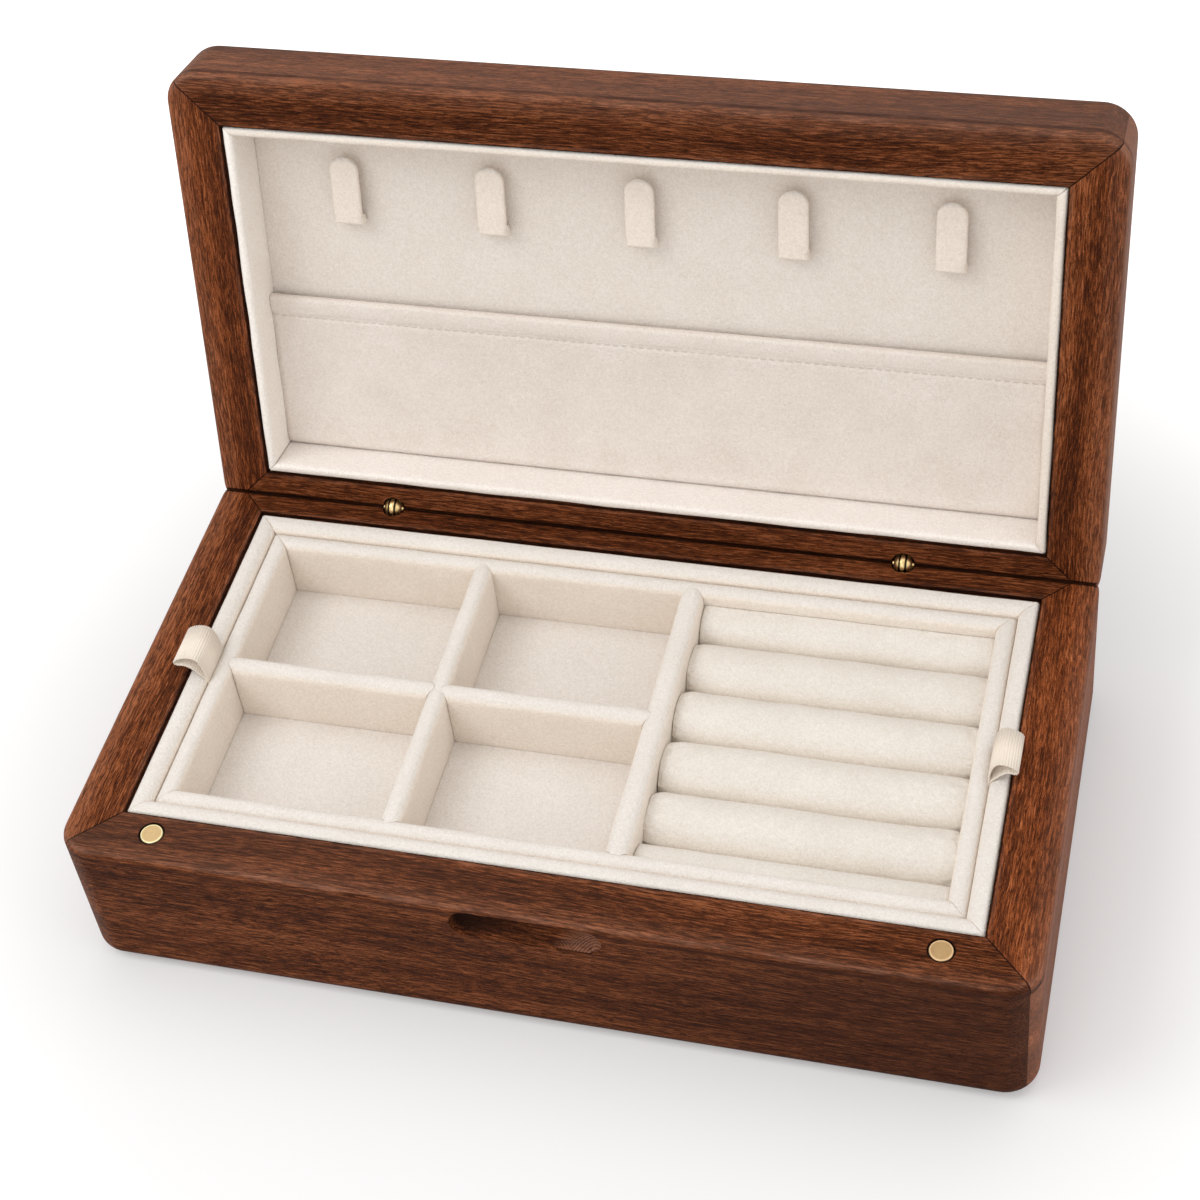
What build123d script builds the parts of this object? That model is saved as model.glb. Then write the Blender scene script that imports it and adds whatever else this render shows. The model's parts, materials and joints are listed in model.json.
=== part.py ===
"""Walnut display box for cufflinks and rings: a lined base, a hinged lid and a lift-out tray.

The origin is the centre of the underside, +Z is up and the front faces -Y. The lid is drawn shut and is
swung open about the hinge line just before it is written, because the box is kept with its lid open.
"""
from build123d import *
from math import cos, radians, sin, tan
import os

os.makedirs("parts", exist_ok=True)

# ---- Case: walnut rails round a rectangular opening -------------------------------------------------
opening_width = 260.0        # between the side rails
opening_depth = 128.0        # between the front and back rails
rail_width = 17.0            # of every rail, base and lid
base_height = 55.0           # floor to the plane in which lid and base meet
lid_height = 26.0
corner_radius = 10.5         # upright corners of the case
rim_radius = 2.2             # outer edge beside the meeting plane
foot_radius = 5.0            # outer edge at the floor
crown_radius = 5.0           # outer edge at the top of the lid
meeting_gap = 0.3            # between the shut lid's rails and the base's
glue_gap = 0.1               # round a panel that is glued into a rabbet
rabbet_width = 6.0

case_width = opening_width + 2 * rail_width
case_depth = opening_depth + 2 * rail_width
base_rail_top = base_height - meeting_gap / 2
lid_rail_bottom = base_height + meeting_gap / 2
lid_top = base_height + lid_height

# ---- Underside, panels and lid board ----------------------------------------------------------------
felt_thickness = 1.0
felt_proud = 0.6             # how far the felt stands below the rails
bottom_panel_thickness = 5.0
floor_lining_thickness = 1.0
top_panel_thickness = 6.0
back_board_thickness = 2.5
lining_gap = 0.2             # round the floor lining and the back board

floor_top = felt_thickness + bottom_panel_thickness
lining_top = floor_top + floor_lining_thickness
top_panel_bottom = lid_top - top_panel_thickness
back_board_face = top_panel_bottom - back_board_thickness

# ---- Velvet wrapped liners --------------------------------------------------------------------------
liner_gap = 0.4              # shadow line between velvet and walnut
liner_drop = 0.35            # liners end this far short of the meeting plane
base_liner_thickness = 5.6
base_liner_round = 2.4       # inner top edge
base_liner_outer_round = 1.2
lid_liner_thickness = 3.0
lid_liner_round = 1.2

liner_width = opening_width - 2 * liner_gap
liner_depth = opening_depth - 2 * liner_gap
well_width = liner_width - 2 * base_liner_thickness
well_depth = liner_depth - 2 * base_liner_thickness
lid_well_width = opening_width - 2 * (liner_gap + lid_liner_thickness)
lid_well_depth = opening_depth - 2 * (liner_gap + lid_liner_thickness)

# ---- Lift-out tray ----------------------------------------------------------------------------------
tray_gap = 0.9               # between tray and liner, all round
tray_drop = 1.6              # tray rim below the meeting plane
tray_height = 26.0
tray_seat_gap = 0.2          # between tray and ledge
tray_floor_thickness = 3.0
tray_wall_thickness = 5.6
tray_wall_round = 2.5
ledge_width = 8.0
ledge_end_gap = 0.3
long_divider_x = 21.0
long_divider_thickness = 7.4
mid_divider_x = -49.0
divider_thickness = 6.4
divider_round = 2.8
lap_gap = 0.1                # in the cross-lap joint of the two dividers
pad_thickness = 1.2
pad_gap = 0.3

tray_width = well_width - 2 * tray_gap
tray_depth = well_depth - 2 * tray_gap
tray_inside_width = tray_width - 2 * tray_wall_thickness
tray_inside_depth = tray_depth - 2 * tray_wall_thickness
tray_top = base_height - tray_drop
tray_bottom = tray_top - tray_height
tray_floor_top = tray_bottom + tray_floor_thickness
ledge_top = tray_bottom - tray_seat_gap

# ---- Ring rolls -------------------------------------------------------------------------------------
roll_count = 6
roll_end_width = 11.5        # first and last roll, cut off by the tray's walls
roll_gap = 0.3               # between neighbouring rolls, and between a roll and the tray
roll_drop = 5.0              # top of a roll below the tray rim
roll_end_round = 2.0

roll_pitch = (tray_inside_depth - 2 * roll_end_width) / (roll_count - 2)

# ---- Ribbon pulls -----------------------------------------------------------------------------------
ribbon_width = 14.0
ribbon_thickness = 0.5
ribbon_y = -2.0
ribbon_tail = 18.0           # glued length below the tray rim
loop_root_rise = 0.6         # corners of the loop, above the tray rim and out from the tail
loop_crest_rise = 10.0
loop_crest_reach = 1.4
loop_tip_rise = 9.6
loop_tip_reach = 14.3
loop_crest_radius = 4.0
loop_tip_radius = 1.8

# ---- Barrel hinges ----------------------------------------------------------------------------------
lid_open_angle = 102.0
hinge_setback = 8.5          # hinge line behind the opening
hinge_spacing = 171.0
barrel_radius = 3.8
barrel_length = 13.0
barrel_bore_gap = 0.05
barrel_start = 3.6           # barrel begins this far from the hinge line
knuckle_radius = 3.1         # of the ball that the three knuckles make
tongue_thickness = 1.7       # middle knuckle, on the lid
tongue_gap = 0.3             # between the middle knuckle and the outer two
pin_radius = 0.8
pin_length = 7.2
pin_dome_radius = 0.6
pin_running_gap = 0.1
bevel_gap = 0.15             # barrels stay this far inside the bevel of the rails
hinge_arris_flat = 0.7       # taken off the rails on each side of the hinge line

hinge_y = opening_depth / 2 + hinge_setback
bevel_angle = lid_open_angle / 2
hinge_axis = Axis((0, hinge_y, base_height), (1, 0, 0))
hinge_places = {"left": -hinge_spacing / 2, "right": hinge_spacing / 2}

# ---- Magnets and finger notch -----------------------------------------------------------------------
magnet_radius = 3.5
magnet_thickness = 2.5
magnet_bore_gap = 0.35
magnet_chamfer = 0.2
magnet_spacing = 237.0
magnet_inset = 6.5           # magnet centre in front of the opening
notch_width = 46.0
notch_cutter_radius = 5.9
notch_depth = 4.2
notch_drop = 7.3             # deepest line of the notch below the meeting plane

# ---- Lid pocket and tabs ----------------------------------------------------------------------------
pocket_height = 57.5
pocket_standoff = 4.0        # front of the pocket before the back board
pocket_cloth = 1.6
pocket_seam = 2.0            # closed band at the pocket's sides and foot
pocket_gap = 0.3
hem_height = 6.5
hem_thickness = 2.6
hem_round = 1.1
hook_count = 5
hook_pitch = 47.8
hook_width = 9.3
hook_length = 23.5
hook_thickness = 2.2
hook_standoff = 3.1          # gap behind the tab
hook_root = 2.4              # lower end, turned into the board
hook_root_round = 1.2        # inside that turn
hook_top_setback = 10.8      # free end from the front liner
hook_edge_round = 0.8

sides = ("front", "back", "left", "right")


def save(part, name):
    """Label a finished piece and write it."""
    part.label = name
    export_step(part, f"parts/{name}.step")


def swing_open(part):
    """Turn a piece of the shut lid back about the hinge line."""
    return part.rotate(hinge_axis, -lid_open_angle)


def mitre_outline(side, width, depth, thickness):
    """Corner points of the trapezium that cuts one side out of a frame of this outer size."""
    reach = 2 * thickness  # the mitre cuts run on inwards, past the inner faces
    x_out, y_out = width / 2, depth / 2
    x_in, y_in = x_out - reach, y_out - reach
    front = [(-x_out, -y_out), (x_out, -y_out), (x_in, -y_in), (-x_in, -y_in)]
    left = [(-x_out, -y_out), (-x_in, -y_in), (-x_in, y_in), (-x_out, y_out)]
    outlines = {
        "front": front,
        "back": [(-x, -y) for x, y in front],
        "left": left,
        "right": [(-x, -y) for x, y in left],
    }
    return outlines[side]


def mitred_side(frame, side, width, depth, thickness):
    """One side of a frame, cut at 45 degrees at both ends."""
    box = frame.bounding_box()
    with BuildPart() as piece:
        add(frame)
        with BuildSketch(Plane.XY.offset(box.min.Z)):
            Polygon(*mitre_outline(side, width, depth, thickness), align=None)
        extrude(amount=box.size.Z, mode=Mode.INTERSECT)
    return piece.part


def rear_bevel(direction):
    """What is cut behind the hinge line from the base (-1) or the lid (1), from side to side.

    A wedge, and a small flat that softens the arris along the hinge line.
    """
    run = rail_width  # reaches past the outer face
    rail_face = base_rail_top if direction < 0 else lid_rail_bottom
    flat_back = hinge_y + hinge_arris_flat * cos(radians(bevel_angle))
    flat_foot = base_height + direction * hinge_arris_flat * sin(radians(bevel_angle))
    with BuildPart() as wedge:
        with BuildSketch(Plane.YZ):
            Polygon(
                (hinge_y - hinge_arris_flat, base_height),
                (hinge_y + run, base_height),
                (hinge_y + run, base_height + direction * run * tan(radians(bevel_angle))),
                (flat_back, flat_foot),
                (hinge_y - hinge_arris_flat, rail_face),
                align=None,
            )
        extrude(amount=case_width, both=True)
    return wedge.part


def hinge_bore(x, floor, depth):
    """A bore for one hinge barrel, drawn upwards from floor."""
    with BuildPart() as bore:
        with BuildSketch(Plane.XY.offset(floor)):
            with Locations((x, hinge_y)):
                Circle(barrel_radius + barrel_bore_gap)
        extrude(amount=depth)
    return bore.part


# =====================================================================================================
# Base rails
# =====================================================================================================
bore_depth = barrel_start + barrel_length

with BuildPart() as base_frame:
    with BuildSketch(Plane.XY.offset(felt_proud)):
        RectangleRounded(case_width, case_depth, corner_radius)
    extrude(amount=base_rail_top - felt_proud)
    fillet(base_frame.faces().sort_by(Axis.Z)[0].edges(), radius=foot_radius)
    fillet(base_frame.faces().sort_by(Axis.Z)[-1].edges(), radius=rim_radius)
    with BuildSketch(Plane.XY.offset(felt_proud)):
        Rectangle(opening_width, opening_depth)
    extrude(amount=base_height, mode=Mode.SUBTRACT)
    with BuildSketch(Plane.XY.offset(floor_top)):
        Rectangle(opening_width + 2 * rabbet_width, opening_depth + 2 * rabbet_width)
    extrude(amount=-floor_top, mode=Mode.SUBTRACT)
    add(rear_bevel(-1), mode=Mode.SUBTRACT)
    for bore_x in hinge_places.values():
        add(hinge_bore(bore_x, base_height - bore_depth, bore_depth), mode=Mode.SUBTRACT)
    # magnet bores in the top of the front rail
    magnet_y = -opening_depth / 2 - magnet_inset
    with BuildSketch(Plane.XY.offset(base_rail_top)):
        with Locations((-magnet_spacing / 2, magnet_y), (magnet_spacing / 2, magnet_y)):
            Circle(magnet_radius + magnet_bore_gap)
    extrude(amount=-magnet_thickness, mode=Mode.SUBTRACT)

# the finger notch is the path of a ball-ended cutter held in front of the rail
notch_axis_y = notch_depth - case_depth / 2 - notch_cutter_radius
notch_axis_z = base_height - notch_drop
notch_chord = (notch_cutter_radius**2 - (notch_cutter_radius - notch_depth) ** 2) ** 0.5
notch_reach = notch_width / 2 - notch_chord
with BuildPart() as notch_cutter:
    with BuildSketch(Plane.XY.offset(notch_axis_z)):
        with Locations((0, notch_axis_y)):
            SlotCenterToCenter(2 * notch_reach, 2 * notch_cutter_radius)
            Rectangle(
                case_width,
                2 * notch_cutter_radius,
                align=(Align.CENTER, Align.MAX),
                mode=Mode.SUBTRACT,
            )
    revolve(axis=Axis((0, notch_axis_y, notch_axis_z), (1, 0, 0)))

base_rails = {
    side: mitred_side(base_frame.part, side, case_width, case_depth, rail_width) for side in sides
}
with BuildPart() as notched_rail:
    add(base_rails["front"])
    add(notch_cutter.part, mode=Mode.SUBTRACT)
base_rails["front"] = notched_rail.part
for side in sides:
    save(base_rails[side], f"base_{side}_rail")

# =====================================================================================================
# Base panel, felt, floor lining and liners
# =====================================================================================================
panel_width = opening_width + 2 * (rabbet_width - glue_gap)
panel_depth = opening_depth + 2 * (rabbet_width - glue_gap)

with BuildPart() as base_felt:
    with BuildSketch():
        Rectangle(panel_width, panel_depth)
    extrude(amount=felt_thickness)
save(base_felt.part, "base_felt")

with BuildPart() as base_bottom_panel:
    with BuildSketch(Plane.XY.offset(felt_thickness)):
        Rectangle(panel_width, panel_depth)
    extrude(amount=bottom_panel_thickness)
save(base_bottom_panel.part, "base_bottom_panel")

with BuildPart() as base_floor_lining:
    with BuildSketch(Plane.XY.offset(floor_top)):
        Rectangle(opening_width - 2 * lining_gap, opening_depth - 2 * lining_gap)
    extrude(amount=floor_lining_thickness)
save(base_floor_lining.part, "base_floor_lining")

with BuildPart() as base_liner_frame:
    with BuildSketch(Plane.XY.offset(lining_top)):
        Rectangle(liner_width, liner_depth)
        Rectangle(well_width, well_depth, mode=Mode.SUBTRACT)
    extrude(amount=base_height - liner_drop - lining_top)
    liner_rim = base_liner_frame.faces().sort_by(Axis.Z)[-1]
    fillet(liner_rim.outer_wire().edges(), radius=base_liner_outer_round)
    liner_rim = base_liner_frame.faces().sort_by(Axis.Z)[-1]
    fillet(liner_rim.inner_wires()[0].edges(), radius=base_liner_round)
for side in sides:
    liner = mitred_side(base_liner_frame.part, side, liner_width, liner_depth, base_liner_thickness)
    save(liner, f"base_liner_{side}")

for side, sign in (("left", -1), ("right", 1)):
    with BuildPart() as tray_ledge:
        with BuildSketch(Plane.XY.offset(lining_top)):
            with Locations((sign * (well_width - ledge_width) / 2, 0)):
                Rectangle(ledge_width, well_depth - 2 * ledge_end_gap)
        extrude(amount=ledge_top - lining_top)
    save(tray_ledge.part, f"tray_ledge_{side}")

for side, sign in (("left", -1), ("right", 1)):
    with BuildPart() as base_magnet:
        with BuildSketch(Plane.XY.offset(base_rail_top)):
            with Locations((sign * magnet_spacing / 2, magnet_y)):
                Circle(magnet_radius)
        extrude(amount=-magnet_thickness)
        chamfer(base_magnet.faces().sort_by(Axis.Z)[-1].edges(), length=magnet_chamfer)
    save(base_magnet.part, f"base_magnet_{side}")

# =====================================================================================================
# Lid rails, panel, board and liners (drawn shut, then swung open)
# =====================================================================================================
with BuildPart() as lid_frame:
    with BuildSketch(Plane.XY.offset(lid_rail_bottom)):
        RectangleRounded(case_width, case_depth, corner_radius)
    extrude(amount=lid_top - lid_rail_bottom)
    fillet(lid_frame.faces().sort_by(Axis.Z)[0].edges(), radius=rim_radius)
    fillet(lid_frame.faces().sort_by(Axis.Z)[-1].edges(), radius=crown_radius)
    with BuildSketch(Plane.XY.offset(lid_rail_bottom)):
        Rectangle(opening_width, opening_depth)
    extrude(amount=lid_height, mode=Mode.SUBTRACT)
    with BuildSketch(Plane.XY.offset(top_panel_bottom)):
        Rectangle(opening_width + 2 * rabbet_width, opening_depth + 2 * rabbet_width)
    extrude(amount=top_panel_thickness, mode=Mode.SUBTRACT)
    add(rear_bevel(1), mode=Mode.SUBTRACT)
    for bore_x in hinge_places.values():
        add(hinge_bore(bore_x, base_height, bore_depth), mode=Mode.SUBTRACT)
for side in sides:
    rail = mitred_side(lid_frame.part, side, case_width, case_depth, rail_width)
    save(swing_open(rail), f"lid_{side}_rail")

with BuildPart() as lid_top_panel:
    with BuildSketch(Plane.XY.offset(top_panel_bottom)):
        Rectangle(panel_width, panel_depth)
    extrude(amount=top_panel_thickness)
save(swing_open(lid_top_panel.part), "lid_top_panel")

with BuildPart() as lid_back_board:
    with BuildSketch(Plane.XY.offset(back_board_face)):
        Rectangle(opening_width - 2 * lining_gap, opening_depth - 2 * lining_gap)
    extrude(amount=back_board_thickness)
save(swing_open(lid_back_board.part), "lid_back_board")

with BuildPart() as lid_liner_frame:
    with BuildSketch(Plane.XY.offset(base_height + liner_drop)):
        Rectangle(liner_width, liner_depth)
        Rectangle(lid_well_width, lid_well_depth, mode=Mode.SUBTRACT)
    extrude(amount=back_board_face - base_height - liner_drop)
    liner_rim = lid_liner_frame.faces().sort_by(Axis.Z)[0]
    fillet(liner_rim.edges(), radius=lid_liner_round)
for side in sides:
    liner = mitred_side(lid_liner_frame.part, side, liner_width, liner_depth, lid_liner_thickness)
    save(swing_open(liner), f"lid_liner_{side}")

# =====================================================================================================
# Pocket, hem and tabs on the lid's board
# =====================================================================================================
pocket_width = lid_well_width - 2 * pocket_gap
pocket_foot_y = lid_well_depth / 2 - pocket_gap
pocket_mouth_y = pocket_foot_y - pocket_height
pocket_face = back_board_face - pocket_standoff
pocket_panel_height = pocket_height - hem_height

with BuildPart() as lid_pocket:
    with BuildSketch(Plane.XY.offset(pocket_face)):
        with Locations((0, pocket_foot_y)):
            Rectangle(pocket_width, pocket_panel_height, align=(Align.CENTER, Align.MAX))
    extrude(amount=pocket_standoff)
    with BuildSketch(Plane.XY.offset(pocket_face + pocket_cloth)):
        with Locations((0, pocket_foot_y - pocket_seam)):
            Rectangle(pocket_width - 2 * pocket_seam, pocket_height, align=(Align.CENTER, Align.MAX))
    extrude(amount=pocket_standoff, mode=Mode.SUBTRACT)
save(swing_open(lid_pocket.part), "lid_pocket")

hem_middle = pocket_face + pocket_cloth / 2
with BuildPart() as lid_pocket_hem:
    with BuildSketch(Plane.YZ):
        with Locations((pocket_mouth_y + hem_height / 2, hem_middle)):
            RectangleRounded(hem_height, hem_thickness, hem_round)
    extrude(amount=pocket_width / 2, both=True)
save(swing_open(lid_pocket_hem.part), "lid_pocket_hem")

hook_tip_y = -lid_well_depth / 2 + hook_top_setback
hook_foot_y = hook_tip_y + hook_length
hook_outer = back_board_face - hook_standoff - hook_thickness


def hook(x):
    """A padded tab: its lower end turned into the board, the rest of it flat and free behind."""
    inner_bend = (hook_foot_y - hook_root, back_board_face - hook_standoff)
    with BuildPart() as tab:
        with BuildSketch(Plane.YZ.offset(x)) as hook_side:
            Polygon(
                (hook_foot_y, back_board_face),
                (hook_foot_y - hook_root, back_board_face),
                inner_bend,
                (hook_tip_y, back_board_face - hook_standoff),
                (hook_tip_y, hook_outer),
                (hook_foot_y, hook_outer),
                align=None,
            )
            fillet(hook_side.vertices().sort_by_distance(inner_bend)[0], radius=hook_root_round)
        extrude(amount=hook_width / 2, both=True)
        with BuildSketch(Plane.XY.offset(hook_outer)):
            with Locations((x, hook_tip_y + hook_width / 2)):
                Circle(hook_width / 2)
                Rectangle(hook_width, hook_length, align=(Align.CENTER, Align.MIN))
        extrude(amount=lid_height, mode=Mode.INTERSECT)
        fillet(tab.faces().sort_by(Axis.Z)[0].edges(), radius=hook_edge_round)
    return tab.part


for index in range(hook_count):
    hook_x = (index - (hook_count - 1) / 2) * hook_pitch
    save(swing_open(hook(hook_x)), f"lid_hook_{index + 1}")

# =====================================================================================================
# Lift-out tray
# =====================================================================================================
with BuildPart() as tray_floor:
    with BuildSketch(Plane.XY.offset(tray_bottom)):
        Rectangle(tray_width, tray_depth)
    extrude(amount=tray_floor_thickness)
save(tray_floor.part, "tray_floor")

with BuildPart() as tray_frame:
    with BuildSketch(Plane.XY.offset(tray_floor_top)):
        Rectangle(tray_width, tray_depth)
        Rectangle(tray_inside_width, tray_inside_depth, mode=Mode.SUBTRACT)
    extrude(amount=tray_top - tray_floor_top)
    fillet(tray_frame.faces().sort_by(Axis.Z)[-1].edges(), radius=tray_wall_round)
for side in sides:
    wall = mitred_side(tray_frame.part, side, tray_width, tray_depth, tray_wall_thickness)
    save(wall, f"tray_wall_{side}")

divider_height = tray_top - tray_floor_top
long_divider_left = long_divider_x - long_divider_thickness / 2
long_divider_right = long_divider_x + long_divider_thickness / 2
inside_left = -tray_inside_width / 2
inside_right = tray_inside_width / 2

with BuildPart() as tray_long_divider:
    with BuildSketch(Plane.XY.offset(tray_floor_top)):
        with Locations((long_divider_x, 0)):
            Rectangle(long_divider_thickness, tray_inside_depth)
    extrude(amount=divider_height)
    fillet(
        tray_long_divider.faces().sort_by(Axis.Z)[-1].edges().filter_by(Axis.Y), radius=divider_round
    )
save(tray_long_divider.part, "tray_long_divider")

# the two compartment dividers are slotted half way into each other
lap_height = tray_floor_top + divider_height / 2
with BuildPart() as tray_mid_divider:
    with BuildSketch(Plane.XY.offset(tray_floor_top)):
        with Locations((mid_divider_x, 0)):
            Rectangle(divider_thickness, tray_inside_depth)
    extrude(amount=divider_height)
    fillet(
        tray_mid_divider.faces().sort_by(Axis.Z)[-1].edges().filter_by(Axis.Y), radius=divider_round
    )
    with BuildSketch(Plane.XY.offset(lap_height)):
        with Locations((mid_divider_x, 0)):
            Rectangle(divider_thickness, divider_thickness + 2 * lap_gap)
    extrude(amount=divider_height, mode=Mode.SUBTRACT)
save(tray_mid_divider.part, "tray_mid_divider")

with BuildPart() as tray_cross_divider:
    with BuildSketch(Plane.XY.offset(tray_floor_top)):
        with Locations(((inside_left + long_divider_left) / 2, 0)):
            Rectangle(long_divider_left - inside_left, divider_thickness)
    extrude(amount=divider_height)
    fillet(
        tray_cross_divider.faces().sort_by(Axis.Z)[-1].edges().filter_by(Axis.X), radius=divider_round
    )
    with BuildSketch(Plane.XY.offset(tray_floor_top)):
        with Locations((mid_divider_x, 0)):
            Rectangle(divider_thickness + 2 * lap_gap, divider_thickness)
    extrude(amount=lap_height - tray_floor_top, mode=Mode.SUBTRACT)
save(tray_cross_divider.part, "tray_cross_divider")

# padded floors of the four compartments, from the back left one round to the front right one
columns = (
    (inside_left, mid_divider_x - divider_thickness / 2),
    (mid_divider_x + divider_thickness / 2, long_divider_left),
)
rows = ((divider_thickness / 2, tray_inside_depth / 2), (-tray_inside_depth / 2, -divider_thickness / 2))
compartments = [(column, row) for row in rows for column in columns]
for index, ((x_left, x_right), (y_front, y_back)) in enumerate(compartments):
    with BuildPart() as compartment_pad:
        with BuildSketch(Plane.XY.offset(tray_floor_top)):
            with Locations(((x_left + x_right) / 2, (y_front + y_back) / 2)):
                Rectangle(x_right - x_left - 2 * pad_gap, y_back - y_front - 2 * pad_gap)
        extrude(amount=pad_thickness)
    save(compartment_pad.part, f"compartment_pad_{index + 1}")

# foam rolls: round on top, flat on the tray floor, the outermost cut off by the tray's walls
roll_radius = (roll_pitch - roll_gap) / 2
roll_middle = tray_top - roll_drop - roll_radius
roll_left = long_divider_right + roll_gap
roll_length = inside_right - roll_gap - roll_left
for index in range(roll_count):
    roll_y = ((roll_count - 1) / 2 - index) * roll_pitch
    with BuildPart() as ring_roll:
        with BuildSketch(Plane.XZ.offset(-roll_y)) as roll_profile:
            with Locations((roll_left, roll_middle)):
                Rectangle(roll_length, roll_radius, align=(Align.MIN, Align.MIN))
            fillet(roll_profile.vertices().group_by(Axis.Y)[-1], radius=roll_end_round)
        revolve(axis=Axis((0, roll_y, roll_middle), (1, 0, 0)))
        with BuildSketch(Plane.XY.offset(tray_floor_top)):
            Rectangle(tray_inside_width, tray_inside_depth - 2 * roll_gap)
        extrude(amount=tray_height, mode=Mode.INTERSECT)
    save(ring_roll.part, f"ring_roll_{index + 1}")

# =====================================================================================================
# Ribbon pulls: a strip folded into a leaning loop above a tail that is glued to the tray wall
# =====================================================================================================
tail_x = (tray_width + ribbon_thickness) / 2
for side, sign in (("left", -1), ("right", 1)):
    root = (sign * tail_x, tray_top + loop_root_rise)
    crest = (sign * (tail_x + loop_crest_reach), tray_top + loop_crest_rise)
    tip = (sign * (tail_x + loop_tip_reach), tray_top + loop_tip_rise)
    with BuildPart() as ribbon_pull:
        with BuildSketch(Plane.XZ.offset(-ribbon_y)) as loop:
            Polygon(root, crest, tip, align=None)
            fillet(loop.vertices().sort_by_distance(crest)[0], radius=loop_crest_radius)
            fillet(loop.vertices().sort_by_distance(tip)[0], radius=loop_tip_radius)
            offset(amount=-ribbon_thickness, kind=Kind.INTERSECTION, mode=Mode.SUBTRACT)
            with Locations((sign * tail_x, tray_top - ribbon_tail)):
                Rectangle(
                    ribbon_thickness,
                    ribbon_tail + loop_root_rise + ribbon_thickness,
                    align=(Align.CENTER, Align.MIN),
                )
        extrude(amount=ribbon_width / 2, both=True)
    save(ribbon_pull.part, f"ribbon_pull_{side}")

# =====================================================================================================
# Barrel hinges: two outer knuckles on the base and one between them on the lid, turned into a ball
# =====================================================================================================
slot_width = tongue_thickness + 2 * tongue_gap
cut_width = 4 * barrel_radius  # of the cuts that pass right through a barrel


def barrel_bevel(direction):
    """The space behind and beyond the hinge line that a barrel and its neck keep clear of."""
    reach = 2 * rail_width  # reaches past every face of the rail
    drop = bevel_gap / cos(radians(bevel_angle))
    fall = reach * tan(radians(bevel_angle)) + drop
    with BuildPart() as wedge:
        with BuildSketch(Plane.YZ):
            Polygon(
                (hinge_y, base_height + direction * drop),
                (hinge_y + reach, base_height + direction * fall),
                (hinge_y + reach, base_height - direction * reach),
                (hinge_y - reach, base_height - direction * reach),
                (hinge_y - reach, base_height + direction * drop),
                align=None,
            )
        extrude(amount=case_width / 2, both=True)
    return wedge.part


def hinge_blank(x, direction):
    """A barrel, its neck and a whole ball, pointing down (-1) into the base or up (1) into the lid."""
    with BuildPart() as blank:
        with BuildSketch(Plane.XY.offset(base_height + direction * barrel_start)):
            with Locations((x, hinge_y)):
                Circle(barrel_radius)
        extrude(amount=direction * barrel_length)
        with BuildSketch(Plane.XY.offset(base_height)):
            with Locations((x, hinge_y)):
                Circle(knuckle_radius)
        extrude(amount=direction * barrel_start)
        add(barrel_bevel(direction), mode=Mode.SUBTRACT)
        with Locations((x, hinge_y, base_height)):
            Sphere(knuckle_radius)
    return blank.part


for side, hinge_x in hinge_places.items():
    with BuildPart() as hinge_barrel_base:
        add(hinge_blank(hinge_x, -1))
        with BuildSketch(Plane.XY.offset(base_height - barrel_start)):
            with Locations((hinge_x, hinge_y)):
                Rectangle(slot_width, cut_width)
        extrude(amount=2 * barrel_start, mode=Mode.SUBTRACT)
        with BuildSketch(Plane.YZ.offset(hinge_x)):
            with Locations((hinge_y, base_height)):
                Circle(pin_radius)
        extrude(amount=barrel_radius, both=True, mode=Mode.SUBTRACT)
    save(hinge_barrel_base.part, f"hinge_barrel_base_{side}")

    with BuildPart() as hinge_barrel_lid:
        add(hinge_blank(hinge_x, 1))
        with BuildSketch(Plane.XY.offset(base_height - barrel_start)):
            with Locations((hinge_x, hinge_y)):
                Rectangle(cut_width, cut_width)
                Rectangle(tongue_thickness, cut_width, mode=Mode.SUBTRACT)
        extrude(amount=2 * barrel_start, mode=Mode.SUBTRACT)
        with BuildSketch(Plane.YZ.offset(hinge_x)):
            with Locations((hinge_y, base_height)):
                Circle(pin_radius + pin_running_gap)
        extrude(amount=barrel_radius, both=True, mode=Mode.SUBTRACT)
    save(swing_open(hinge_barrel_lid.part), f"hinge_barrel_lid_{side}")

    with BuildPart() as hinge_pin:
        with BuildSketch(Plane.YZ.offset(hinge_x)):
            with Locations((hinge_y, base_height)):
                Circle(pin_radius)
        extrude(amount=pin_length / 2, both=True)
        fillet(hinge_pin.edges(), radius=pin_dome_radius)
    save(hinge_pin.part, f"hinge_pin_{side}")
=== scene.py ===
import json
import math
from types import SimpleNamespace

import bpy
import numpy as np
from bpy.props import FloatProperty, FloatVectorProperty, PointerProperty
from mathutils import Matrix, Vector


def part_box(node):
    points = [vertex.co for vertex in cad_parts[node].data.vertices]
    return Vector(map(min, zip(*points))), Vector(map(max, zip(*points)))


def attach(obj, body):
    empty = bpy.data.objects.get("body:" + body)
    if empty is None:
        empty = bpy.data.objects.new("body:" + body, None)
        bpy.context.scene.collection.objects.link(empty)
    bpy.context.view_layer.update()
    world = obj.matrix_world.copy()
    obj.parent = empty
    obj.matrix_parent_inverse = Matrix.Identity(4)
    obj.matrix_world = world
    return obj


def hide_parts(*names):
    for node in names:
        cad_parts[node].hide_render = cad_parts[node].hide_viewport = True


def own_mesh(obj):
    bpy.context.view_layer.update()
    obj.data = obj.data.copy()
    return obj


bl_info = {
    "name": "Cufflink Display Box Finishes",
    "version": (1, 0, 0),
    "blender": (4, 5, 0),
    "location": "3D View > Sidebar > Display Box",
    "description": "Dresses the packed walnut display box in oiled wood, velvet, ribbon and brass",
    "category": "Object",
}

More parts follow.
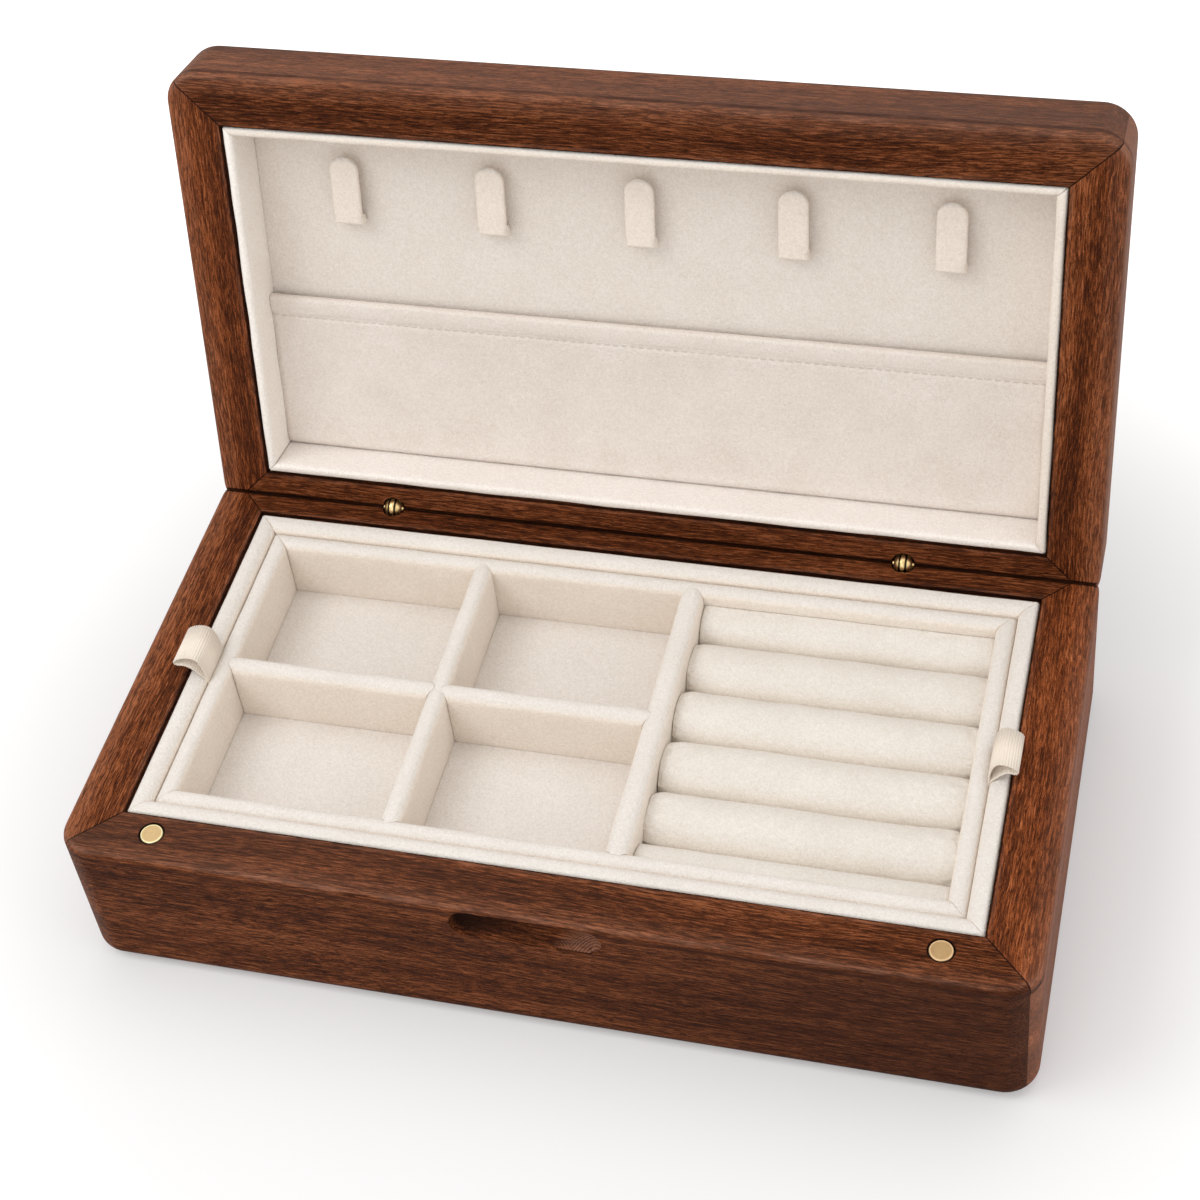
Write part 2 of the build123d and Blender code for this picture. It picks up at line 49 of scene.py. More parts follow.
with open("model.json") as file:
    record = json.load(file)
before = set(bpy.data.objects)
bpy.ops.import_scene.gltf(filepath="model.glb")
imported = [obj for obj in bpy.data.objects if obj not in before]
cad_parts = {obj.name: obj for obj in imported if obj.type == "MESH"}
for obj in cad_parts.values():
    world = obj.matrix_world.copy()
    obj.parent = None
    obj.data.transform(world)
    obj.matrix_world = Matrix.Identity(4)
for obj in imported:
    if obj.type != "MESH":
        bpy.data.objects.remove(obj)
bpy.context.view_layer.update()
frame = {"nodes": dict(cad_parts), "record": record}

MM = 0.001

# ---- The case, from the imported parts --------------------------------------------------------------

SIDES = (("front", "x", -1), ("back", "x", 1), ("left", "y", -1), ("right", "y", 1))  # name, run and way out
AXES = {"x": (0, 1), "y": (1, 0)}     # which axes a run lies along and across
HALF_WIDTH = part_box("base_right_rail")[1].x
HALF_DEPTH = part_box("base_back_rail")[1].y
RIM_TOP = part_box("base_front_rail")[1].z
RIM_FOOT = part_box("base_front_rail")[0].z
OPENING_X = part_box("base_right_rail")[0].x
OPENING_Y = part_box("base_back_rail")[0].y
CORNER_ROUND = 12 * MM

LID_LEAN = math.radians(12)
LEAN, RISE = math.sin(LID_LEAN), math.cos(LID_LEAN)
HINGE = Vector(next(j for j in frame["record"]["behaviour"]["joints"] if j["name"] == "lid_hinge")["pos_m"])
LID_MIDDLE = 72.5 * MM        # from the hinge line to the middle of the lid
LID_MID_DEPTH = 13 * MM       # from the lid's rim to the middle of its depth


def coordinates(mesh):
    """The points of a mesh, one to a row."""
    flat = np.empty(len(mesh.vertices) * 3)
    mesh.vertices.foreach_get("co", flat)
    return flat.reshape(-1, 3)


def lid_place(points):
    """Points given as (x, distance up from the hinge line, depth into the lid), at their place."""
    x, up, deep = np.asarray(points, float).T
    return np.stack([x, HINGE.y + up * LEAN + deep * RISE, HINGE.z + up * RISE - deep * LEAN], axis=1)


def lid_box(node):
    """Lowest and highest (x, up, deep) of a lid node."""
    x, y, z = (coordinates(frame["nodes"][node].data) - np.array(HINGE)).T
    own = np.stack([x, y * LEAN + z * RISE, y * RISE - z * LEAN], axis=1)
    return own.min(axis=0), own.max(axis=0)


# ---- Node trees -----------------------------------------------------------------------------------


class Value:
    """An output socket. Arithmetic on it adds Math nodes to its tree."""

    def __init__(self, tree, socket):
        self.tree, self.socket = tree, socket

    def of(self, output):
        """Another output of the same node."""
        return Value(self.tree, self.socket.node.outputs[output])

    def math(self, operation, *values):
        """A step of arithmetic."""
        return self.tree.node("ShaderNodeMath", {"operation": operation}, dict(enumerate(values)))

    def __add__(self, other):
        return self.math("ADD", self, other)

    __radd__ = __add__

    def __sub__(self, other):
        return self.math("SUBTRACT", self, other)

    def __rsub__(self, other):
        return self.math("SUBTRACT", other, self)

    def __mul__(self, other):
        return self.math("MULTIPLY", self, other)

    __rmul__ = __mul__

    def __truediv__(self, other):
        return self.math("DIVIDE", self, other)

    def __abs__(self):
        return self.math("ABSOLUTE", self)

    def most(self, other):
        """The larger of the two."""
        return self.math("MAXIMUM", self, other)

    def least(self, other):
        """The smaller of the two."""
        return self.math("MINIMUM", self, other)

    def sine(self):
        """Its sine, in radians."""
        return self.math("SINE", self)

    def between(self, low, high):
        """0 at low and 1 at high, with an eased step; low may be the larger."""
        return self.tree.node(
            "ShaderNodeMapRange",
            {"interpolation_type": "SMOOTHSTEP"},
            {"Value": self, "From Min": low, "From Max": high},
        )


class Tree:
    """A shader or geometry tree that is being built."""

    def __init__(self, node_tree):
        self.nodes, self.links = node_tree.nodes, node_tree.links

    def node(self, kind, settings=None, sockets=None, output=0):
        """Adds a node: its settings first, then the values or links of its sockets."""
        made = self.nodes.new(kind)
        for name, value in (settings or {}).items():
            if name == "stops":
                ramp = made.color_ramp
                while len(ramp.elements) < len(value):
                    ramp.elements.new(1.0)
                for stop, (position, color) in zip(ramp.elements, value):
                    stop.position, stop.color = position, (*color, 1.0)
            else:
                setattr(made, name, value)
        for name, value in (sockets or {}).items():
            if isinstance(value, Value):
                self.links.new(value.socket, made.inputs[name])
            else:
                made.inputs[name].default_value = value
        return Value(self, made.outputs[output] if made.outputs else None)

    def mix(self, amount, low, high, blend="MIX"):
        """A colour between two."""
        low, high = [v if isinstance(v, Value) else (*v[:3], 1.0) for v in (low, high)]
        settings = {"data_type": "RGBA", "blend_type": blend}
        return self.node("ShaderNodeMix", settings, {0: amount, 6: low, 7: high}, output=2)

    def noise(self, place, scale, detail=2.0, roughness=0.5, distortion=0.0):
        """Smooth noise about 0.5, with a scale of cells to a unit of place."""
        sockets = {"Vector": place, "Scale": scale, "Detail": detail, "Roughness": roughness}
        return self.node("ShaderNodeTexNoise", None, {**sockets, "Distortion": distortion})

    def spot(self):
        """The place of the point, in object coordinates."""
        return self.node("ShaderNodeTexCoord", output="Object")

    def vector(self, operation, *values, output=0):
        """A step of vector arithmetic."""
        return self.node("ShaderNodeVectorMath", {"operation": operation}, dict(enumerate(values)), output)

    def parts(self, place):
        """The three parts of a vector."""
        split = self.node("ShaderNodeSeparateXYZ", None, {0: place})
        return split, split.of(1), split.of(2)

    def join(self, x, y, z):
        """A vector of three parts."""
        return self.node("ShaderNodeCombineXYZ", None, {0: x, 1: y, 2: z})

    def length(self, x, y):
        """The length of a flat vector."""
        return self.vector("LENGTH", self.join(x, y, 0.0), output="Value")

    def from_axis(self, x, y, axis):
        """How far a place is from an upright axis."""
        return self.vector("DISTANCE", self.join(x, y, 0.0), (axis.x, axis.y, 0.0), output="Value")

    def end(self, kind, result):
        """Adds the output node and links a result to it."""
        self.links.new(result, self.nodes.new(kind).inputs[0])


def new_material(name):
    """An empty material with a Principled shader: (material, its tree, the shader's node)."""
    material = bpy.data.materials.new(name)
    material.use_nodes = True
    tree = Tree(material.node_tree)
    tree.nodes.clear()
    shader = tree.nodes.new("ShaderNodeBsdfPrincipled")
    tree.end("ShaderNodeOutputMaterial", shader.outputs[0])
    return material, tree, shader


def plug(tree, shader, **sockets):
    """Sets the shader's own sockets: Base_Color=..., and so on."""
    for name, value in sockets.items():
        socket = shader.inputs[name.replace("_", " ")]
        if isinstance(value, Value):
            tree.links.new(value.socket, socket)
        else:
            socket.default_value = value


def bump(tree, height, distance, strength=1.0):
    """A normal tilted by a height, which is as high as the distance where it is 1."""
    return tree.node("ShaderNodeBump", None, {"Height": height, "Distance": distance, "Strength": strength})


def paint(node, material):
    """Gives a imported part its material."""
    frame["nodes"][node].material_slots[0].material = material


def toned(color, *factors):
    """A colour times one factor, or times one for each of its parts, at most white."""
    return [min(1.0, c * k) for c, k in zip(color, factors * (3 // len(factors)))]


# ---- Walnut ---------------------------------------------------------------------------------------

LIFTS = {"base": (0.88, 0.90, 1.13, 1.72), "lid": (0.84, 0.92, 1.34, 1.23)}    # in the order of SIDES
# painted grazing sheen on each board's outer side, in the order of SIDES
OUTER_SIDE_SHEEN = {"base": (0.0, 0.1, 0.1, 0.3), "lid": (0.22, 0.1, 0.1, 0.55)}
PLAIN, CURLED = 0.4 * MM, 1.3 * MM          # how far the grain curls sideways

# marks on the wood: the distance at which each starts, and the one at which it is full
ARRIS_SHEEN_WEAR = 2.1 * MM, 0.8 * MM             # from an outer arris, for worn edges with a painted highlight
INNER_ARRIS_SHEEN_WEAR = 0.7 * MM, 0.2 * MM       # from the arris round the opening, for worn edges with a painted highlight
INNER_ARRIS = 0.9 * MM                      # how far that arris lies outside the opening
CORNER_SHEEN_WEAR = 2.0 * MM, 6.0 * MM            # out into a rounded corner, for worn edges with a painted highlight
CORNER_SKIN = 1.5 * MM, 0.0                 # in from the outer side
OUTER_SKIN = 0.9 * MM, 0.1 * MM             # the same, for the painted grazing sheen on an outer side
RIM_SHADE_SKIN = 1.0 * MM, 0.3 * MM             # the same, for the painted shade line below the rim
RIM_SHADE_DROP = 3.2 * MM                       # of the painted shade line below the rim
RIM_SHADE = 1.5 * MM, 0.4 * MM                  # from that line
TOP_FACE = 1.0 * MM, 0.4 * MM               # below the rim
HANDLED_SHEEN_STRIP = 8.0 * MM, 2.0 * MM          # in from the outer side, on the top face: worn by hands, with a painted sheen
NOTCH_BACK, NOTCH_EDGE = (0.3 * MM, 2.6 * MM), (1.2 * MM, 2.2 * MM)    # in from the front, down from the rim
NOTCH_SIDE, NOTCH_FLOOR = 1 * MM, 3 * MM    # how softly the painted shade in the notch ends towards its sides and inwards
NOTCH_SHADE_END = 18 * MM, -16 * MM                # of x, where the painted shade in the notch deepens towards its left end
# where the notch's right end has a painted highlight
NOTCH_LIT_END, NOTCH_LIT_FACE = (18 * MM, 28 * MM), (0.1 * MM, 0.5 * MM)
STROKES_TURN = 24 * MM, 25 * MM             # where the strokes change direction
MAGNET_RING_SHADE = 0.75 * MM, 0.45 * MM                 # painted shade in the gap outside a magnet's cap
MITRE_LINE, MITRE_DROP = (0.32 * MM, 0.10 * MM), (5 * MM, 1.5 * MM)    # from the mitre, below the rim
HINGE_LINE = 0.95 * MM, 0.45 * MM           # from the hinge line: painted shade in the gap where the boards meet
VELVET_EDGE, VELVET_DROP = (0.40 * MM, 0.15 * MM), (1.5 * MM, 0.8 * MM)   # painted shade in the gap at the velvet's ragged edge: from the opening, below the rim
DIAGONAL = 0.7071                           # the sine of 45 degrees, across a mitre


def board_space(tree, on_lid):
    """Coordinates from the middle of the case or the lid, and the distances from its edges."""
    if on_lid:
        centre = lid_place([[0, LID_MIDDLE, LID_MID_DEPTH]])[0]
        turn, half_height = math.pi / 2 - LID_LEAN, LID_MID_DEPTH
    else:
        centre, turn, half_height = (0, 0, (RIM_TOP + RIM_FOOT) / 2), 0, (RIM_TOP - RIM_FOOT) / 2
    place = {"Vector": tree.spot(), "Location": tuple(centre), "Rotation": (turn, 0, 0)}
    own = tree.node("ShaderNodeMapping", {"vector_type": "TEXTURE"}, place)
    x, y, z = tree.parts(own)
    out_x = abs(x) - (HALF_WIDTH - CORNER_ROUND)
    out_y = abs(y) - (HALF_DEPTH - CORNER_ROUND)
    beyond = tree.length(out_x.most(0.0), out_y.most(0.0))
    return SimpleNamespace(
        own=own, x=x, y=y, z=z,
        from_side=CORNER_ROUND - beyond - out_x.most(out_y).least(0.0),
        from_rim=half_height - abs(z),
        into_corner=out_x.least(out_y),
    )


def wood_grain(tree, board, across, seed, figure, contrast):
    """The tone of the grain, and the fibres, bands, streaks, pores and specks in it."""
    along, side = (board.y, board.x) if across else (board.x, board.y)
    wander = tree.noise(tree.join(along * 6 + seed, side * 14, board.z * 14), 1.0, 2.0) - 0.5
    curl = tree.noise(tree.join(along * 110 + seed, side * 170, board.z * 170), 1.0, 2.0) - 0.5
    side = side + wander * 0.014 + curl * figure
    high = board.z + wander * 0.010 + curl * (figure * 0.8)
    shift = seed * 0.37

    def drawn_out(scale, stretch, detail, rough=0.5):
        """Noise drawn out along the grain; scale is per metre across it."""
        place = tree.join(along * (scale / stretch) + shift, side * scale + shift, high * scale - shift)
        return tree.noise(place, 1.0, detail, rough)

    broad = drawn_out(75, 16, 2.0)
    bands = drawn_out(330, 20, 2.0, 0.6)
    fibres = drawn_out(2000, 17, 3.0, 0.75)
    streaks = drawn_out(1700, 15, 2.0, 0.7).between(0.50, 0.58) * (0.55 + bands.between(0.62, 0.38) * 0.45)
    pores = drawn_out(2900, 9, 1.0).between(0.56, 0.63)
    specks = tree.noise(board.own, 2400.0, 1.0)
    tone = broad * 1.1 + bands * 0.5 + fibres * contrast + specks * 0.5 - (0.55 + contrast / 2)
    return SimpleNamespace(tone=tone, fibres=fibres, bands=bands, streaks=streaks, pores=pores, specks=specks)


def notch_and_magnets(tree, board, grain, wood, dark, look):
    """Painted shade in the finger notch, darkest at its left end, a painted highlight with strokes at its
    right end, and painted shade in each magnet cap's gap.
    """
    x, y, from_rim = board.x, board.y, board.from_rim
    into = (y + HALF_DEPTH).between(*NOTCH_BACK) * from_rim.between(*NOTCH_EDGE)
    hollow = into * (HALF_WIDTH * 0.5 - abs(x)).between(0.0, NOTCH_SIDE)
    hollow = hollow * (0 - y).between(OPENING_Y, OPENING_Y + NOTCH_FLOOR)
    # painted shade in the finger notch, deepening towards its left end
    left_end_shade = (x + from_rim * 0.8).between(*NOTCH_SHADE_END)
    wood = tree.mix(hollow * (left_end_shade * 0.85 + 0.10), wood, toned(dark, 0.35))
    # a painted highlight, hatched with strokes, at the notch's right end
    lit_right_end = (x + from_rim).between(*NOTCH_LIT_END) * (y + HALF_DEPTH).between(*NOTCH_LIT_FACE)
    turned = (x + from_rim).between(*STROKES_TURN)
    strokes = (x * (1.0 - turned * 2.0) + board.z * 1.4) * 6000 + grain.specks * 5.0
    strokes = strokes.sine().between(-0.4, 0.7) * 0.45 + 0.15
    wood = tree.mix(lit_right_end * hollow.between(0.0, 0.02) * strokes, wood, look.walnut_worn_and_sheen)
    for side in ("left", "right"):
        low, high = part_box(f"base_magnet_{side}")
        radius = (high.x - low.x) / 2
        # painted shade in the gap round each magnet cap
        ring_shade = tree.from_axis(x, y, (low + high) / 2).between(*[radius + reach for reach in MAGNET_RING_SHADE])
        wood = tree.mix(ring_shade * 0.85, wood, toned(dark, 0.2))
    return wood


def joint_lines(tree, board, from_opening, on_lid):
    """The hairline of the mitres, and painted shade in the gaps along the hinge and at the velvet's ragged
    edge.
    """
    mitre = abs(abs(board.x) - abs(board.y) - (OPENING_X - OPENING_Y)) * DIAGONAL
    seam = (mitre + (tree.noise(board.own, 500.0) - 0.5) * 0.0002).between(*MITRE_LINE)
    seam = seam * (0.35 + board.from_rim.between(*MITRE_DROP) * 0.65)
    # painted shade in the gap along the hinge line and at the velvet's ragged edge
    to_hinge = board.y + LID_MIDDLE if on_lid else board.y - HINGE.y
    half_height = LID_MID_DEPTH if on_lid else (RIM_TOP - RIM_FOOT) / 2
    from_hinge = tree.length(to_hinge, half_height - board.z)
    ragged = (from_opening + (tree.noise(board.own, 900.0) - 0.5) * 0.0007).between(*VELVET_EDGE)
    return seam, from_hinge.between(*HINGE_LINE).most(ragged * board.from_rim.between(*VELVET_DROP))


def walnut(name, look, across=False, on_lid=False, seed=0.0, figure=PLAIN, lift=1.0, side_sheen=0.0, painted_left_light=False,
           mitred=True):
    """Oiled walnut with the grain along X, or along the sides where across is set.

    lift makes a paler board; the outer side gets as much painted grazing sheen as its share says; the
    front board of the case has painted light on its top face at its left end and painted shade on its
    outer side towards its right end; and a mitred one is a rail."""
    material, tree, shader = new_material(name)
    board = board_space(tree, on_lid)
    x, from_side, from_rim = board.x, board.from_side, board.from_rim
    grain = wood_grain(tree, board, across, seed, figure, contrast=2.35 / math.sqrt(lift))
    dark, mid, light = [toned(tone, lift) for tone in (look.walnut_dark, look.walnut_mid, look.walnut_light)]
    stops = [(0.12, dark), (0.50, mid), (0.88, light)]
    wood = tree.node("ShaderNodeValToRGB", {"stops": stops}, {0: grain.tone}, output="Color")
    wood = tree.mix(grain.streaks * 0.72, wood, dark)
    wood = tree.mix(grain.pores * 0.62, wood, toned(dark, 0.5))

    # worn arrises with a painted highlight: lighter where the rim meets the sides, and at the upright corners
    patchy = tree.noise(board.own, 60.0, 3.0).between(0.30, 0.72)
    corner = board.into_corner.between(*CORNER_SHEEN_WEAR) * from_side.between(*CORNER_SKIN)
    wear_and_sheen = from_side.most(from_rim).between(*ARRIS_SHEEN_WEAR).most(corner * 0.5)
    if mitred:
        from_opening = abs((OPENING_X - abs(x)).least(OPENING_Y - abs(board.y)))
        inner_arris = abs(from_opening - INNER_ARRIS).most(from_rim)
        wear_and_sheen = wear_and_sheen.most(inner_arris.between(*INNER_ARRIS_SHEEN_WEAR) * 0.6)
    wear_and_sheen = wear_and_sheen * (patchy * 0.85 + 0.15)
    on_top = from_rim.between(*TOP_FACE)
    # a strip of the top face worn by hands, with a painted sheen on it
    handled_and_sheen = from_side.between(*HANDLED_SHEEN_STRIP) * on_top
    if painted_left_light:
        # painted light on the top face, strongest at its left end
        to_right = x.between(-0.9 * HALF_WIDTH, 0.9 * HALF_WIDTH)
        handled_and_sheen = handled_and_sheen * 0.6 + on_top * (1.0 - to_right) * 0.9
    wood = tree.mix((wear_and_sheen * 0.62 + handled_and_sheen * 0.30) * (grain.fibres - 0.10), wood, look.walnut_worn_and_sheen)

    # the outer side: a painted grazing sheen, with a painted shade line below the rim
    on_side = from_side.between(*OUTER_SKIN)
    wood = tree.mix(on_side * (grain.fibres * 0.8 + 0.6) * side_sheen, wood, look.walnut_worn_and_sheen)
    # a painted shade line below the rim
    below = abs(from_rim - RIM_SHADE_DROP).between(*RIM_SHADE) * from_side.between(*RIM_SHADE_SKIN)
    wood = tree.mix(below * (patchy * 0.4 + 0.4), wood, look.walnut_dark)
    if painted_left_light:
        # painted shade on the outer side, deepening towards its right end
        wood = tree.mix(x.between(-0.1 * HALF_WIDTH, 0.9 * HALF_WIDTH) * on_side * 0.55, wood, dark)
    if not across and not on_lid:
        wood = notch_and_magnets(tree, board, grain, wood, dark, look)

    height = grain.fibres * 0.6 - grain.pores * 1.0 - grain.streaks * 0.5 + grain.bands * 0.4
    if mitred:
        seam, dark_line = joint_lines(tree, board, from_opening, on_lid)
        # the mitre's dark hairline, and painted shade in the gaps along the hinge and at the velvet's edge
        wood = tree.mix(seam.most(dark_line) * 0.85, wood, toned(look.walnut_dark, 0.12))
        height = height - seam * 1.5
    plug(
        tree, shader,
        Base_Color=wood,
        Roughness=0.50 + (grain.fibres - 0.5) * 0.25 + grain.pores * 0.2 - wear_and_sheen * 0.08,
        Specular_IOR_Level=0.05,
        Sheen_Weight=0.02,
        Sheen_Roughness=0.25,
        Normal=bump(tree, height, 0.00007, 0.9),
    )
    return material


class DISPLAYBOX_OT_oil_walnut(bpy.types.Operator):
    """Oils the walnut rails of the case and the lid, and the lid's panel"""

    bl_idname = "display_box.oil_walnut"
    bl_label = "Oil the Walnut"

    def execute(self, context):
        look = context.scene.display_box
        for part, boards in LIFTS.items():
            for index, (side, runs, _) in enumerate(SIDES):
                across, on_lid = runs == "y", part == "lid"
                seed = 3.1 * index + (17.3 if on_lid else 0)
                wood = walnut(
                    f"walnut_{part}_{side}", look, across, on_lid, seed, CURLED if across else PLAIN,
                    lift=boards[index], side_sheen=OUTER_SIDE_SHEEN[part][index], painted_left_light=(part, side) == ("base", "front"),
                )
                paint(f"{part}_{side}_rail", wood)
        paint("lid_top_panel", walnut("walnut_lid_panel", look, on_lid=True, seed=41.7, mitred=False))
        return {"FINISHED"}


# ---- Brass, plywood and felt ----------------------------------------------------------------------

CAP_RIM_HIGHLIGHT = 0.65 * MM, 0.35 * MM              # in from a magnet cap's edge, for its painted highlight
KNUCKLE_GAP = 1.0 * MM                      # from the middle of a hinge pin to its grooves
GROOVE = 0.48 * MM, 0.24 * MM               # from the middle of a groove, for the painted shade in it
PLY = 2.0 * MM                              # two veneers of the plywood


def brass(name, color, roughness, brushed, cap=None, pin=None):
    """Brass with fine turning or brushing marks and a little tarnish; cap is the box of a disc with a painted
    highlight round its rim, pin that of a hinge pin, whose knuckles have painted shade in the grooves between
    them."""
    material, tree, shader = new_material(name)
    spot = tree.spot()
    x, y, z = tree.parts(spot)
    marks = tree.noise(tree.join(x * brushed[0], y * brushed[1], z * brushed[2]), 1.0, 3.0)
    tarnish = tree.noise(spot, 240.0, 4.0).between(0.35, 0.80)
    pits = tree.noise(spot, 2600.0, 2.0, 0.7).between(0.35, 0.65)
    metal = tree.mix(tarnish * 0.3 + (marks - 0.5) * 0.3 + pits * 0.25, color, toned(color, 0.66))
    if cap:
        # painted highlight round the cap's rim
        radius = (cap[1].x - cap[0].x) / 2
        rim = tree.from_axis(x, y, (cap[0] + cap[1]) / 2).between(*[radius - inset for inset in CAP_RIM_HIGHLIGHT])
        metal = tree.mix(rim * 0.75, metal, toned(color, 1.75, 1.85, 2.2))
    if pin:
        # painted shade in the grooves between the knuckles
        from_groove = abs(abs(abs(x) - (pin[0].x + pin[1].x) / 2) - KNUCKLE_GAP)
        metal = tree.mix(from_groove.between(*GROOVE) * 0.92, metal, toned(color, 0.06))
    plug(
        tree, shader,
        Base_Color=metal,
        Metallic=1.0,
        Roughness=roughness + tarnish * 0.14 + (marks - 0.5) * 0.12,
        Normal=bump(tree, marks, 0.00001, 0.5),
    )
    return material


class DISPLAYBOX_OT_polish_brass(bpy.types.Operator):
    """Finishes the barrel hinges and the magnet caps in brass"""

    bl_idname = "display_box.polish_brass"
    bl_label = "Polish the Brass"

    def execute(self, context):
        look = context.scene.display_box
        hinge = brass("hinge_brass", look.brass, 0.29, (300, 4000, 4000), pin=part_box("hinge_pin_right"))
        # the right cap takes a darker colour of the same brass: painted shade
        for side, color in (("left", look.magnet_left), ("right", look.magnet_right_shaded)):
            cap = brass(f"magnet_brass_{side}", color, 0.36, (5000, 500, 500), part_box(f"base_magnet_{side}"))
            for part in ("hinge_barrel_base", "hinge_barrel_lid", "hinge_pin"):
                paint(f"{part}_{side}", hinge)
            paint(f"base_magnet_{side}", cap)
        return {"FINISHED"}


class DISPLAYBOX_OT_finish_underside(bpy.types.Operator):
    """Gives the bottom panel its veneers and the underside its felt"""

    bl_idname = "display_box.finish_underside"
    bl_label = "Finish the Underside"

    def execute(self, context):
        look = context.scene.display_box
        paint("base_bottom_panel", plywood(look))
        low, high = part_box("base_felt")
        felt = slab("underside_felt", low, high, felt_cloth(look))
        settle(felt, "base", "felt", "base_felt")
        return {"FINISHED"}


def plywood(look):
    """Thin veneers, darker every second one."""
    material, tree, shader = new_material("bottom_plywood")
    x, y, z = tree.parts(tree.spot())
    plies = (z * (math.pi * 2 / PLY)).sine().between(-0.4, 0.4)
    streaks = tree.noise(tree.join(x * 30, y * 600, z * 600), 1.0, 4.0)
    color = tree.mix(streaks, look.plywood, toned(look.plywood, 0.6))
    color = tree.mix(plies * 0.35, color, toned(look.plywood, 0.4))
    plug(tree, shader, Base_Color=color, Roughness=0.7, Normal=bump(tree, streaks, 0.00005))
    return material


def felt_cloth(look):
    """Pressed felt with loose fibres."""
    material, tree, shader = new_material("brown_felt")
    spot = tree.spot()
    fibres = tree.noise(spot, 1800.0, 4.0, 0.7, 1.5)
    clumps = tree.noise(spot, 220.0, 3.0)
    color = tree.mix(fibres * 0.7 + clumps * 0.3, toned(look.felt, 0.6), toned(look.felt, 1.6))
    plug(
        tree, shader, Base_Color=color, Roughness=0.95, Specular_IOR_Level=0.2, Sheen_Weight=0.25,
        Normal=bump(tree, fibres + clumps, 0.0003),
    )
    return material


# ---- Velvet ---------------------------------------------------------------------------------------

VELVETS = {  # of each kind: its tone, with painted light in it, how much it is crushed, and the painted highlight tint where it looks up
    "wall": ((1.05, 1.035, 1.01), 0.3, (0.89, 0.93, 0.98)),
    "floor": ((0.99, 0.99, 0.99), 0.25, (0.955, 0.975, 1.0)),
    "pocket": ((0.98, 0.975, 0.98), 0.5, (1.0, 1.0, 1.0)),
    "roll": ((0.995, 1.0, 0.985), 0.4, (0.935, 0.955, 0.975)),
    # painted light: the lid's back liner is paler where it looks up
    "lid_back": ((1.0, 1.0, 1.0), 0.3, (1.09, 1.11, 1.15)),
    # painted light: the lid's left liner is a paler, lit copy of the velvet
    "lid_left": ((1.20, 1.21, 1.24), 0.3, (1.0, 1.0, 1.0)),
}
_made = {}


def velvet(name, look, shade, crush, lit):
    """Short-pile velvet: a speckled nap over softly crushed patches; shade is its tone with painted light in
    it, and lit is a painted highlight tint on the faces that look up.
    """
    material, tree, shader = new_material(name)
    spot = tree.spot()
    nap = tree.noise(spot, 2100.0, 2.0, 0.7)
    tufts = tree.noise(spot, 900.0, 3.0, 0.6)
    patches = tree.noise(spot, 55.0, 3.0, 0.55)
    tone = (nap - 0.5) * 1.05 + (tufts - 0.5) * 0.65 + (patches - 0.5) * crush + 0.5
    pale = toned(look.velvet, *shade)
    color = tree.mix(tone.between(0.1, 0.9), toned(pale, 0.86, 0.83, 0.79), toned(pale, 1.05))
    # painted highlight: the faces that look up take the lit tint
    upward = tree.node("ShaderNodeAttribute", {"attribute_name": "upward"}, output="Fac").between(0.3, 0.9)
    color = tree.mix(1.0, color, tree.mix(upward, (1.0, 1.0, 1.0), lit), "MULTIPLY")
    plug(
        tree, shader,
        Base_Color=color,
        Roughness=0.92,
        Specular_IOR_Level=0.15,
        Sheen_Weight=0.14,
        Sheen_Roughness=0.40,
        Normal=bump(tree, nap * 0.8 + tufts, 0.00026, 0.95),
    )
    return material


def cloth_of(kind, look):
    """The velvet of a kind, made once."""
    if kind not in _made:
        _made[kind] = velvet(f"cream_velvet_{kind}", look, *VELVETS[kind])
    return _made[kind]


# ---- Mesh making ----------------------------------------------------------------------------------

WAVES, WAVES_HEIGHT = 7, 2.6     # how many slow waves make an unevenness, and about how high they add up
THIN_CELL = 4 * MM               # of the mesh of a thin flat lining
SIM_SCALE = 10.0                 # cloth is simulated ten times as large, where its solver is steadier
SIM_FRAMES = 16


def ripple(points, size, amount, seed=0):
    """A smooth unevenness: a sum of slow waves at the points."""
    random = np.random.default_rng(seed)
    total = np.zeros(len(points))
    for _ in range(WAVES):
        direction = random.normal(size=3)
        direction *= random.uniform(0.6, 1.6) * 2 * math.pi / size / np.linalg.norm(direction)
        total += np.sin(points @ direction + random.uniform(0, 6.28))
    return total * amount / WAVES_HEIGHT


def mesh_piece(name, points, faces, material, smooth=True):
    """An object of the points and faces, turned outwards if it is closed the wrong way round.

    An attribute keeps how far each of its points looks up."""
    points = np.asarray(points, float)
    volume = 0.0
    for face in faces:
        for k in range(1, len(face) - 1):
            volume += np.dot(points[face[0]], np.cross(points[face[k]], points[face[k + 1]]))
    if volume < 0:
        faces = [tuple(reversed(face)) for face in faces]
    mesh = bpy.data.meshes.new(name)
    mesh.from_pydata(points.tolist(), [], faces)
    mesh.validate()
    upward = [normal.vector.z for normal in mesh.vertex_normals]
    mesh.attributes.new("upward", "FLOAT", "POINT").data.foreach_set("value", upward)
    if smooth:
        mesh.shade_smooth()
    mesh.materials.append(material)
    return new_object(name, mesh)


def new_object(name, data):
    """An object of its data, in the scene."""
    made = bpy.data.objects.new(name, data)
    bpy.context.scene.collection.objects.link(made)
    return made


def join_meshes(name, pieces):
    """One piece of several that ride together."""
    first = pieces[0]
    if len(pieces) > 1:
        with bpy.context.temp_override(active_object=first, selected_editable_objects=pieces,
                                       selected_objects=pieces, object=first):
            bpy.ops.object.join()
    first.name = name
    return first


def settle(piece, body, slot, *nodes):
    """The piece rides on a body and stands for its nodes, which are hidden; slot is not used."""
    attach(piece, body)
    if nodes:
        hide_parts(*nodes)


def settle_padded(piece, body, node):
    """Settles a piece of padded velvet."""
    settle(piece, body, "velvet", node)


